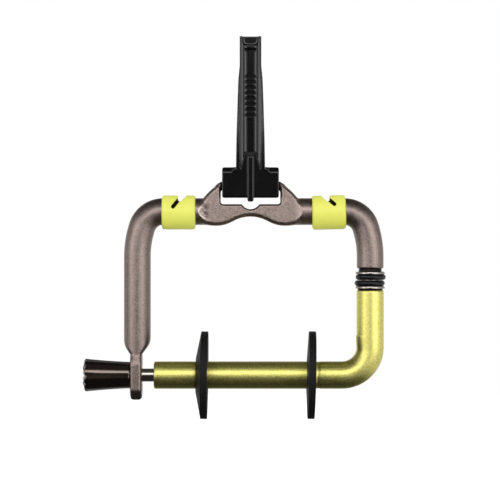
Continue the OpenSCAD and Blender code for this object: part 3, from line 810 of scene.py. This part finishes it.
# %% Sizes of the frame
FRAME_STEP = 0.26
FRAME_R = 3.875
TIGHT_R = 6.4
EASY_R = 28.0
TIGHT_TURN = 72
frame_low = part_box("frame")[0]
hinge_y = hinge.y / MM
bar_y = bar_line.y / MM
bar_z = bar_line.z / MM
left_arm_x = -frame_low.x / MM - FRAME_R
right_arm_x = swivel.x / MM
right_foot_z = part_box("neck_washer")[1].z / MM
SADDLE_FRONT = 3.1
SADDLE_BACK = 4.3
SADDLE_HALF = 14.6
SADDLE_OVERLAP = 3.6
SET_SCREW_R = 1.27
print("arms at x:", round(-left_arm_x, 2), round(right_arm_x, 2))


# %% Bent bars
def bent_bar(arm_x, foot_z):
    """Left half of the top bar, its corner and its arm, for an arm that far from the middle."""
    turn = math.radians(TIGHT_TURN)
    inner_x = TIGHT_R * math.sin(turn) + EASY_R * (1 - math.sin(turn)) - arm_x
    elbow_z = TOP_Z - TIGHT_R * (1 - math.cos(turn)) - EASY_R * math.cos(turn)
    inside_end = below((1, 0, 0), (-SADDLE_HALF + SADDLE_OVERLAP, 0, 0))
    top = rod((0, bar_y, TOP_Z), (inner_x, bar_y, TOP_Z), FRAME_R).keep(inside_end)
    tight = bend((inner_x, bar_y, TOP_Z - TIGHT_R), TIGHT_R, FRAME_R, 90, 90 + TIGHT_TURN)
    easy = bend((EASY_R - arm_x, bar_y, elbow_z), EASY_R, FRAME_R, 90 + TIGHT_TURN, 180)
    arm = rod((-arm_x, bar_y, elbow_z), (-arm_x, bar_y, foot_z), FRAME_R)
    return top.join(tight).join(easy).join(arm)


# %% [markdown]
# ### The ear
#
# A press squeezed the foot of the left arm thin, with a sloped shoulder on each side, and the lock screw
# goes through the plate that is left. So the ear is built in that order: a plate is joined to the arm, and
# then the press takes off what stands out on both sides, with a soft edge where the metal flowed.

# %% The ear at the left arm's foot
EAR_T = 3.4
EAR_HALF_W = 4.6
EAR_CORNER_R = 2.8
EAR_CUT = 2.5
EAR_DROP = 7.1
EAR_SHIFT = 0.3
FOOT_RISE = 8.9
FOOT_SLOPE = 52
ear_x = -left_arm_x - EAR_SHIFT
ear_low_z = bar_z - EAR_DROP


def ear_plate(x, y, z):
    """Seen from the side: a round top over a plate with its lower corners cut off."""
    across = abs(y - bar_y)
    round_top = np.hypot(y - bar_y, z - bar_z - EAR_CORNER_R) - EAR_HALF_W
    chamfer = (across - EAR_HALF_W + ear_low_z + EAR_CUT - z) * DIAGONAL
    plate = -soft_min(-np.maximum(across - EAR_HALF_W, ear_low_z - z), -chamfer, 0.5)
    plate = np.maximum(plate, z - bar_z - EAR_CORNER_R)
    return np.maximum(np.minimum(round_top, plate), abs(x - ear_x) - EAR_T)


def pressed_flat(x, y, z):
    """What the press takes off on both sides of the ear: an upright face under a slope."""
    out = abs(x - ear_x) - EAR_T / 2
    slope = math.radians(FOOT_SLOPE)
    slope_z = bar_z + FOOT_RISE - (FRAME_R - EAR_T / 2) * math.tan(slope)
    under = (z - slope_z - out * math.tan(slope)) * math.cos(slope)
    return np.maximum(-out, under)


left_half = bent_bar(left_arm_x, bar_z).join(Form(ear_plate), fillet=0.6).cut(Form(pressed_flat), edge=1.1)
right_half = mirrored(bent_bar(right_arm_x, right_foot_z - FRAME_R))
right_half = right_half.keep(below((0, 0, -1), (0, 0, right_foot_z)), edge=0.5)

# %% [markdown]
# ### The saddle
#
# The outline is made of discs: an arch above, two lobes below and a dip between them. Both faces have a
# flat bevel along it, which shows dark in the photograph. The front is milled, and the cutter's own curve
# leaves a crescent at each end, where the flat runs out on the round bar.

# %% The saddle
ARCH_R = 17.2
ARCH_Z = -14.25
LOBE_R = 9.77
LOBE_X = 10.0
LOBE_Z = -1.93
DIP_R = 10.1
DIP_Z = -19.15


def saddle_outline(x, y, z):
    side = abs(x)
    lobes = np.hypot(side - LOBE_X, z - LOBE_Z) - LOBE_R
    waist = np.maximum(side - LOBE_X / 2, DIP_Z + DIP_R / 2 - z)
    body = np.maximum(np.minimum(lobes, waist), DIP_R - np.hypot(x, z - DIP_Z))
    return np.maximum(body, np.hypot(x, z - ARCH_Z) - ARCH_R)


CUTTER_REACH = 12.5
CUTTER_R = 4.0


def milled_front(x, y, z):
    """What the cutter takes off: all in front of the flat, with the cutter's own curve at each end."""
    beyond = np.maximum(abs(x) - CUTTER_REACH, 0)
    deep = np.maximum(y - bar_y + SADDLE_FRONT + CUTTER_R, 0)
    return np.hypot(beyond, deep) - CUTTER_R


SADDLE_BEVEL = 0.8
saddle_front_y = bar_y - SADDLE_FRONT
saddle = Form(saddle_outline).bevel(below((0, -1, 0), (0, saddle_front_y, 0)), SADDLE_BEVEL)
saddle = saddle.bevel(below((0, 1, 0), (0, bar_y + SADDLE_BACK, 0)), SADDLE_BEVEL)
saddle = saddle.keep(middle_slab(SADDLE_HALF), edge=1.2)

# %% [markdown]
# ### The window
#
# The strap's head needs an opening below the hinge bar, and its ridges catch in the round notch of the
# sill. The window is cut with crisp corners and a narrow bevel, and the hinge bar is laid across it
# afterwards, blended into the arch on both sides.

# %% The window, its notch and the hinge bar
WINDOW_HALF = 8.65
SILL_Z = -5.5
WINDOW_CORNER_R = 0.8
WINDOW_BEVEL = 0.5
NOTCH_R = 2.9
NOTCH_Z = -6.94
HINGE_R = 1.25
HINGE_OVERLAP = 1.0


def window(x, y, z):
    across = abs(x) - WINDOW_HALF
    corner = np.hypot(np.maximum(across + WINDOW_CORNER_R, 0), np.maximum(SILL_Z + WINDOW_CORNER_R - z, 0))
    opening = np.maximum(corner - WINDOW_CORNER_R, np.maximum(across, SILL_Z - z))
    return soft_min(opening, np.hypot(x, z - NOTCH_Z - NOTCH_R) - NOTCH_R, 0.25)


hinge_bar = drill("x", hinge_y, 0, HINGE_R).keep(middle_slab(WINDOW_HALF + HINGE_OVERLAP))
hinge_bar = hinge_bar.keep(drill("y", 0, ARCH_Z, ARCH_R), edge=0.6)
window_bevel = Form(lambda x, y, z: (WINDOW_BEVEL - window(x, y, z) + saddle_front_y - y) * DIAGONAL)

# %% [markdown]
# ### Holes and slots
#
# The guides' slots run a little way into the bar below them. Further holes take the swivel's pin and its
# small screw from behind, and the lock screw's bush in the ear. The rod's seat is a shallow half-round
# across the back of the saddle.

# %% The mouths and slots of the guides
GUIDE_INSET = 12.0
MOUTH = [(-0.28, 3.3), (0.42, 2.78), (2.07, 4.35), (2.57, 5.95), (-0.28, 5.95)]


def guide_mouth(arm_x):
    """V that lets the line into a guide's slot, on the left."""
    return prism([(x - arm_x + GUIDE_INSET, z + TOP_Z) for x, z in MOUTH])


SLOT_W = 1.1
SLOT_SINK = 2.6
SLOT_TOP = (0.15, 3.5)
LEFT_SLOT_END = (-1.55, 1.35)
RIGHT_SLOT_END = (-1.5, 2.1)


def slot(arm_x, blind_end):
    """Slot through a guide on the left, from the front. Its ends are given from the guide's middle."""
    ends = [(GUIDE_INSET - arm_x + x, 0, TOP_Z + z) for x, z in (blind_end, SLOT_TOP)]
    run = rod(*ends, SLOT_W / 2)
    return Form(lambda x, y, z: run(x, 0 * y, z)).keep(below((0, 1, 0), (0, bar_y, 0)))


left_slot = slot(left_arm_x, LEFT_SLOT_END)
right_slot = slot(right_arm_x, RIGHT_SLOT_END)
sunk = Form(lambda x, y, z: FRAME_R - SLOT_SINK - np.hypot(y - bar_y, z - TOP_Z))

# %% Holes for the pin and the screws
PIN_R = 2.42
EAR_BUSH_R = 3.02
ROD_SEAT_R = 4.0
ROD_SEAT_HALF = 20.0
pin_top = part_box("swivel_pin")[1].z / MM
behind = below((0, -1, 0), (0, bar_y, 0))
pin_socket = drill("z", right_arm_x, bar_y, PIN_R).keep(below((0, 0, 1), (0, 0, pin_top)))
pin_screw_hole = drill("y", right_arm_x, middle("pin_set_screw").z / MM, SET_SCREW_R).keep(behind)
ear_hole = drill("x", bar_y, bar_z, EAR_BUSH_R).keep(below((1, 0, 0), (0, 0, 0)))
rod_seat = drill("x", 0, 0, ROD_SEAT_R).keep(middle_slab(ROD_SEAT_HALF))

# %% The whole frame
frame_form = left_half.join(right_half).join(saddle, fillet=0.5).cut(Form(milled_front), edge=0.06)
frame_form = frame_form.cut(rod_seat, edge=0.5)
frame_form = frame_form.cut(Form(window)).keep(window_bevel, edge=0.1).join(hinge_bar, fillet=1.2)
for hole in (guide_mouth(left_arm_x), mirrored(guide_mouth(right_arm_x)), left_slot.keep(sunk),
             mirrored(right_slot).keep(sunk), pin_socket, pin_screw_hole, ear_hole):
    frame_form = frame_form.cut(hole, edge=0.25)
add_form("bent_frame", frame_form, FRAME_STEP, gunmetal, "frame_group", "frame")

# %% [markdown]
# ## The line guides
#
# Two lime rings of smooth plastic are pushed on the top bar. Each has a slot that slants down from a wide
# mouth to a blind end, so that line slips in but can't jump out. The ring's ends are well rounded and the
# edges of the slot only a little, as a mould leaves them. The mouth and the slot are the same forms that
# cut the bar below, so ring and bar fit by themselves.

# %% Line guides
GUIDE_STEP = 0.16
GUIDE_R = 4.95
GUIDE_HALF = 4.9
GUIDE_SAG = 0.25
GUIDE_PLAY = 0.02
GUIDE_ROUND = 1.0
RIGHT_TILT = 1.5


def guide_form(arm_x, tilt, run):
    """Ring on the left arm's side, for an arm that far from the middle."""
    middle_x = GUIDE_INSET - arm_x
    sine, cosine = math.sin(math.radians(tilt)), math.cos(math.radians(tilt))

    def outside(x, y, z):
        across, up = x - middle_x, z - TOP_Z + GUIDE_SAG
        along = across * cosine - up * sine
        away = np.hypot(y - bar_y, up * cosine + across * sine)
        return -soft_min(GUIDE_R - away, GUIDE_HALF - abs(along), GUIDE_ROUND)

    ring = Form(outside).cut(drill("x", bar_y, TOP_Z, FRAME_R + GUIDE_PLAY), edge=0.3)
    return ring.cut(guide_mouth(arm_x).join(run, fillet=0.1), edge=0.3)


guide_forms = {
    "left": guide_form(left_arm_x, 0, left_slot),
    "right": mirrored(guide_form(right_arm_x, RIGHT_TILT, right_slot)),
}
for side, form in guide_forms.items():
    node = "line_guide_" + side
    add_form("lime_guide_" + side, form, GUIDE_STEP, lime_plastic, "frame_group", node)

# %% [markdown]
# ## The strap
#
# The strap is one moulding of black rubber. Its head snaps on the hinge bar, and the blade that rises from
# it has a groove down the front with eight cross ridges, panels that slope away on both sides, and a
# scooped tip for the finger. Below the ridges the groove opens into a fork and a flat-topped rib runs down
# over the head. A rubber moulding is all soft slopes, so the blade's front is written as a depth at each
# height and width, and the rest is joined to it as forms.

# %% The strap's blade
HEAD_FRONT = 3.3
STRAP_T = 3.0
strap_front_y = hinge_y - HEAD_FRONT
STRAP_FOOT = 2.0
STRAP_RISE = 43.0
BLADE_HEIGHTS = [3.0, 13.2, 24.8, 30.6, 34.5, 43.0]
BLADE_HALVES = [4.25, 4.08, 3.73, 3.52, 3.13, 3.13]
FLANK_HEIGHTS = [4.2, 10.3, 19.0, 36.0]
FLANK_WIDTHS = [1.4, 1.0, 0.5, 0.45]
PANEL_SIDES = [1.2, 1.95, 2.15, 2.5, 4.4]
PANEL_DEPTHS = [0.2, 0.6, 0.1, 0.3, 0.9]
PANEL_SHIFTS = [-0.06, 0, 0.06]
FORK_HEIGHTS = [4.1, 5.9, 7.9, 9.7]
FORK_HALVES = [2.95, 2.5, 2.0, 1.4]
FORK_CLOSES = (9.2, 9.8)
FLANK_SINKS = (4.5, 30.0)
FLANK_STEP = 0.15
BLADE_EDGE = 0.25
BLADE_BACK_EDGE = 0.8


def ease(value, start, end):
    """0 before start, 1 after end, and a smooth step between."""
    share = np.clip((value - start) / (end - start), 0, 1)
    return share * share * (3 - 2 * share)


def panel_depth(side, z):
    """Depth of the sloped panels and of the flat flanks beside them, which rise to the face at the foot."""
    flank_start = np.interp(z, BLADE_HEIGHTS, BLADE_HALVES) - np.interp(z, FLANK_HEIGHTS, FLANK_WIDTHS)
    within = np.minimum(side, flank_start)
    panel = sum(np.interp(within + shift, PANEL_SIDES, PANEL_DEPTHS) for shift in PANEL_SHIFTS) / 3
    sunk = 1 - ease(side - flank_start, -0.15, 0.15) * (1 - ease(z, *FLANK_SINKS))
    panel = (panel + FLANK_STEP * ease(side - flank_start, -0.1, 0.1)) * sunk
    fork = 1 - ease(side - np.interp(z, FORK_HEIGHTS, FORK_HALVES), -0.15, 0.15)
    return panel * (1 - fork * (1 - ease(z, *FORK_CLOSES)))


# %% The groove and its ladder of rungs
GROOVE_HALF = 1.05
GROOVE_DEPTH = 1.1
GROOVE_OPENS = (9.3, 9.6)
GROOVE_WIDENS = (38.0, 39.4)
GROOVE_WIDER = 0.7
GROOVE_CLOSES = (39.0, 39.6)
RUNGS = 8
RUNG_PITCH = 1.583
RUNG_START = 19.6
CREST_RISES = (-0.32, -0.2)
CREST_FALLS = (0.1, 0.24)
CREST_DEPTH = 0.24
CREST_TIP = 0.35
POCKET_HALF = 1.48
POCKET_OPENS = (0.1, 0.26)
SCOOP_HALF = 2.25
SCOOP_Z = 40.4
SCOOP_DEPTH = 1.9


def groove_depth(side, z):
    """How much of the groove is there, and how deep. Over a rung's crest lies a wider pocket."""
    rung = np.clip(np.floor((z - RUNG_START) / RUNG_PITCH + 0.2), 0, RUNGS - 1)
    over = z - RUNG_START - rung * RUNG_PITCH
    dome = np.clip((over - 0.55) / 0.75, 0, 1) ** 2
    pocket = (POCKET_HALF - GROOVE_HALF) * ease(over, *POCKET_OPENS) * (1 - dome)
    half = GROOVE_HALF + pocket + GROOVE_WIDER * ease(z, *GROOVE_WIDENS)
    share = (1 - ease(side - half, -0.12, 0.14)) * ease(z, *GROOVE_OPENS) * (1 - ease(z, *GROOVE_CLOSES))
    crest = ease(over, *CREST_RISES) * (1 - ease(over, *CREST_FALLS))
    return share, GROOVE_DEPTH * (1 - crest) + (CREST_DEPTH + CREST_TIP * over) * crest


def blade(x, y, z):
    side = abs(x)
    share, depth = groove_depth(side, z)
    front = strap_front_y + panel_depth(side, z) * (1 - share) + depth * share - y
    body = -soft_min(-(side - np.interp(z, BLADE_HEIGHTS, BLADE_HALVES)), -front, BLADE_EDGE)
    body = -soft_min(-body, strap_front_y + STRAP_T - y, BLADE_BACK_EDGE)
    return np.maximum(body, STRAP_FOOT - z)


tip = below((0, 0, 1), (0, 0, STRAP_RISE))
scoop = middle_slab(SCOOP_HALF).keep(below((0, 0, -1), (0, 0, SCOOP_Z)), edge=1.2)
scoop = scoop.keep(below((0, 1, 0), (0, strap_front_y + SCOOP_DEPTH, 0)), edge=0.6)
strap_form = Form(blade).keep(tip, edge=0.3).cut(scoop, edge=0.3)

# %% The strap's head
HEAD_HALF = 8.2
HEAD_DROP = 3.7
HEAD_RISE = 5.2
HEAD_FACE_RISE = 3.95
SHOULDER_X = 5.6
SHOULDER_W = 1.5
SHOULDER_CLIMB = 1.1
KNUCKLE_R = 2.9
RIB_HALF = 0.9
RIB_OUT = 0.55
RIB_Z = 1.9
RIB_REACH = 6.7
RIB_DEEP = 2.0
HEAD_BACK = 1.3
HINGE_PLAY = 0.05
SLIT_HALF = 0.87
STRAP_STEP = (0.11, 0.18, 0.135)


def head_slope(x, y, z):
    """Slope over the head's face, whose foot climbs to the blade at the shoulders."""
    climb = SHOULDER_CLIMB * np.clip(SHOULDER_X - abs(x), 0, SHOULDER_W)
    return (strap_front_y - y + z - HEAD_FACE_RISE - climb) * DIAGONAL


head = middle_slab(HEAD_HALF).keep(below((0, -1, 0), (0, strap_front_y, 0)), edge=0.3)
head = head.keep(Form(head_slope), edge=0.35).keep(below((0, 0, 1), (0, 0, HEAD_RISE)), edge=0.7)
head_back = drill("x", hinge_y, 0, KNUCKLE_R).join(
    below((0, 1, 0), (0, hinge_y + HEAD_BACK, 0)).keep(below((0, 0, -1), (0, 0, 0)))
).join(below((0, 1, 0), (0, hinge_y, 0)))
head = head.keep(head_back, edge=0.5).keep(below((0, 0, -1), (0, 0, -HEAD_DROP)), edge=0.8)
strap_form = strap_form.join(head)

# %% The rib, the hinge hole and the slit that lets the bar in
rib = middle_slab(RIB_HALF).keep(below((0, -1, 0), (0, strap_front_y - RIB_OUT, 0)), edge=0.4)
rib = rib.keep(Form(lambda x, y, z: abs(z - RIB_Z) - RIB_REACH), edge=0.7)
rib = rib.keep(below((0, 1, 0), (0, strap_front_y + RIB_DEEP, 0)))
slit = Form(lambda x, y, z: abs(y - hinge_y + z) * DIAGONAL - SLIT_HALF)
slit = slit.keep(below((0, -1, 1), (0, hinge_y, 0)))
hinge_hole = drill("x", hinge_y, 0, HINGE_R + HINGE_PLAY)
strap_form = strap_form.join(rib, fillet=0.15).cut(hinge_hole, edge=0.2).cut(slit, edge=0.3)
add_form("ladder_strap", strap_form, STRAP_STEP, strap_rubber, "strap_group", "rod_strap")

# %% [markdown]
# ## The spool bar
#
# The gold bar is turned, grooved and bent. A shallow groove marks where each rubber stop belongs, its free
# end is bored for the bush that takes the lock screw, and its upright end for the swivel's bush. The
# bending tool left a slight pad on the inside of the upright leg.

# %% Spool bar
BAR_STEP = 0.28
BAR_R = 3.95
BAR_BEND_R = 8.2
MARK_DEPTH = 0.06
MARK_HALF = 0.4
MARK_PLACES = (-15.6, 19.6)
PAD_ENDS = [(0.5, -40.0), (0.08, -48.5)]
PAD_TOP_Z = -43.5
PAD_SLIMMER = 0.1
END_SOCKET_R, END_SOCKET_DEEP = 2.82, 6.02
SWIVEL_SOCKET_R, SWIVEL_SOCKET_DEEP = 3.07, 11.08
bar_low, bar_high = box_of("spool_bar")
elbow_x = right_arm_x - BAR_BEND_R
elbow_z = bar_z + BAR_BEND_R

level_leg = rod((bar_low.x, bar_y, bar_z), (elbow_x, bar_y, bar_z), BAR_R)
upright_leg = rod((right_arm_x, bar_y, elbow_z), (right_arm_x, bar_y, bar_high.z), BAR_R)
elbow = bend((elbow_x, bar_y, elbow_z), BAR_BEND_R, BAR_R, -90, 0)
pad_ends = [(right_arm_x - inward, bar_y, z) for inward, z in PAD_ENDS]
pad = rod(*pad_ends, BAR_R - PAD_SLIMMER).keep(below((0, 0, 1), (0, 0, PAD_TOP_Z)), edge=0.3)
bar_form = level_leg.join(elbow).join(upright_leg).join(pad, fillet=0.1)
bar_form = bar_form.keep(below((-1, 0, 0), (bar_low.x, 0, 0)), edge=0.6)
bar_form = bar_form.keep(below((0, 0, 1), (0, 0, bar_high.z)), edge=0.6)
for mark_x in MARK_PLACES:
    groove = Form(lambda x, y, z, at=mark_x: np.maximum(
        abs(x - at) - MARK_HALF, BAR_R - MARK_DEPTH - np.hypot(y - bar_y, z - bar_z)))
    bar_form = bar_form.cut(groove, edge=0.2)

# %% Sockets in the spool bar
end_socket = drill("x", bar_y, bar_z, END_SOCKET_R)
end_socket = end_socket.keep(below((1, 0, 0), (bar_low.x + END_SOCKET_DEEP, 0, 0)))
swivel_socket = drill("z", right_arm_x, bar_y, SWIVEL_SOCKET_R)
swivel_socket = swivel_socket.keep(below((0, 0, -1), (0, 0, bar_high.z - SWIVEL_SOCKET_DEEP)))
back_hole = drill("y", right_arm_x, middle("retaining_screw").z / MM, SET_SCREW_R).keep(behind)
for hole in (end_socket, swivel_socket, back_hole):
    bar_form = bar_form.cut(hole, edge=0.2)
add_form("gold_bar", bar_form, BAR_STEP, gold, "bar_group", "spool_bar")

# %% [markdown]
# ## The knob
#
# The knob flares outward from the ear and has ten shallow flutes that scallop the rim of its outer end.
# They are so shallow that each is nearly a flat facet, which mirrors one thin bright line. It is written in
# its own terms: how far along it a point lies, how far from its axis, and how far round from the nearest
# flute.

# %% Knob
KNOB_STEP = 0.16
KNOB_LEN = 13.9
KNOB_SMALL_R = 3.85
KNOB_BIG_R = 4.85
FLARE_POWER = 1.4
FLUTES = 10
FLUTE_R = 40.0
FLUTE_DEPTH = 0.08
FLUTE_DEEPER = 0.12
FLUTE_POWER = 6
DOME = 0.9
SCALLOP = 0.35
SCALLOP_CURVE = 0.7
KNOB_SOCKET_R, KNOB_SOCKET_DEEP = 1.92, 11.02
knob_high = box_of("lock_knob")[1]


def knob(x, y, z):
    along = knob_high.x - x
    share = np.clip(along / KNOB_LEN, 0, 1)
    radius = KNOB_SMALL_R + (KNOB_BIG_R - KNOB_SMALL_R) * share ** FLARE_POWER
    away = np.hypot(y - bar_y, z - bar_z)
    angle = np.arctan2(z - bar_z, bar_y - y)
    fold = angle - np.round(angle * FLUTES / (2 * math.pi)) * 2 * math.pi / FLUTES
    flute_out = radius + FLUTE_R - FLUTE_DEPTH - FLUTE_DEEPER * share ** FLUTE_POWER
    flute = FLUTE_R - np.hypot(away * np.cos(fold) - flute_out, away * np.sin(fold))
    body = -soft_min(radius - away, -flute, 0.04)
    scallop = np.maximum(SCALLOP - (away * np.sin(fold)) ** 2 * SCALLOP_CURVE, 0)
    ends = np.maximum(-along, along - KNOB_LEN + DOME * (away / KNOB_BIG_R) ** 2 + scallop)
    return -soft_min(-body, -ends, 0.4)


knob_socket = drill("x", bar_y, bar_z, KNOB_SOCKET_R)
knob_socket = knob_socket.keep(below((-1, 0, 0), (knob_high.x - KNOB_SOCKET_DEEP, 0, 0)))
knob_hole = drill("y", middle("knob_set_screw").x / MM, bar_z, SET_SCREW_R).keep(behind)
knob_form = Form(knob).cut(knob_socket, edge=0.2).cut(knob_hole, edge=0.25)
add_form("fluted_knob", knob_form, KNOB_STEP, knob_lacquer, "knob_group", "lock_knob")

# %% [markdown]
# ## The swivel's rings
#
# Between the frame and the spool bar lies a stack of rings: a dark neck washer, a bright washer, two
# O-rings, another bright washer and a thin dark one. Squeezed together, the O-rings give the swing its
# drag. A rubber ring never sits perfectly true, so each is a hair off the axis, as in the photograph.

# %% Rings of the swivel
WASHER_BORE = 2.45
RIM_LEAN = 0.1
LEAN_SHARE = 0.45
O_RING_STEPS = 28


def washer(node, edge, finish, body):
    """A ring whose rim leans in a little over its upper part, where it draws a bright line."""
    low, high = box_of(node)
    radius, lean_z = (high.x - low.x) / 2, high.z - LEAN_SHARE * (high.z - low.z)
    outline = round_corners([
        (low.z, WASHER_BORE), (high.z, WASHER_BORE), (high.z, radius - RIM_LEAN), (lean_z, radius),
        (low.z, radius),
    ], edge)
    mesh = turned(node + "_ring", outline, (right_arm_x, bar_y, 0), (0, 0, 1))
    add_piece(node + "_ring", mesh, finish, body, node)


def o_ring(node, body):
    low, high = box_of(node)
    radius = (high.z - low.z) / 2
    reach = (high.x - low.x) / 2 - radius
    angles = [2 * math.pi * i / O_RING_STEPS for i in range(O_RING_STEPS)]
    outline = [(radius * math.sin(a), reach + radius * math.cos(a)) for a in angles]
    mesh = turned(node + "_rubber", outline, (low + high) / 2, (0, 0, 1))
    add_piece(node + "_rubber", mesh, ring_rubber, body, node)


washer("neck_washer", 0.2, dark_steel, "frame_group")
washer("upper_washer", 0.16, black_nickel, "frame_group")
o_ring("upper_o_ring", "frame_group")
o_ring("lower_o_ring", "bar_group")
washer("lower_washer", 0.16, black_nickel, "bar_group")
washer("foot_washer", 0.12, dark_steel, "bar_group")

# %% [markdown]
# ## The rubber stops
#
# Two dished discs grip the spool from both sides. They are cut crisply from dense black rubber, a thumb's
# width over, and lean a little on the bar because their bore is the only thing that holds them.

# %% Stops
STOP_R = 12.7
STOP_T = 2.0
STOP_BORE = 4.03
STOP_HUB = 5.03
STOP_EDGE = 0.14
LEFT_STOP_X = -15.9
RIGHT_STOP_X = 16.3


def stop(side, hub_x, dish, lean):
    outline = round_corners([
        (0, STOP_BORE), (0, STOP_HUB), (dish, STOP_R), (dish + STOP_T, STOP_R), (STOP_T, STOP_HUB),
        (STOP_T, STOP_BORE),
    ], STOP_EDGE)
    name, tilt = "dished_stop_" + side, math.radians(lean)
    mesh = turned(name, outline, (hub_x, bar_y, bar_z), (math.cos(tilt), 0, -math.sin(tilt)))
    add_piece(name, mesh, stop_rubber, "stop_" + side + "_group", "stop_" + side)


stop("left", LEFT_STOP_X, 1.5, 0.8)
stop("right", RIGHT_STOP_X, 0.45, 1.1)
print("room for a spool in mm:", round(RIGHT_STOP_X - LEFT_STOP_X - STOP_T, 1))

# %% [markdown]
# ## The lock screw
#
# Between the ear and the bar's end a polished pin shows. It is the lock screw: its thread runs in the ear's
# bush and its plain tip in the bar's end. Backing it out lets the bar swing open.

# %% Lock screw
SCREW_R = 1.9
SCREW_TIP = 0.76
SCREW_EDGE = 0.12
screw_low, screw_high = box_of("lock_screw")
screw_outline = round_corners([
    (screw_low.x, 0), (screw_low.x, SCREW_R), (screw_high.x - SCREW_TIP, SCREW_R),
    (screw_high.x, SCREW_R - SCREW_TIP), (screw_high.x, 0),
], SCREW_EDGE)
screw_mesh = turned("polished_screw", screw_outline, (0, bar_y, bar_z), (1, 0, 0))
add_piece("polished_screw", screw_mesh, steel, "lock_group", "lock_screw")

# %% [markdown]
# ## Dress the pieces that keep their solid shape
#
# Small screws, bushes and the swivel pin are simple turned parts whose solids already have the right
# shape. They only take a finish.

# %% Dress the solids
plain_nodes = {
    "swivel_pin": steel, "swivel_bush": dark_plastic, "pin_set_screw": dark_steel,
    "retaining_screw": dark_steel, "ear_bush": brass, "end_bush": dark_plastic,
    "knob_set_screw": dark_steel,
}
for node_name, node_finish in plain_nodes.items():
    nodes[node_name].data.materials.clear()
    nodes[node_name].data.materials.append(node_finish)
print("solids dressed:", len(plain_nodes))
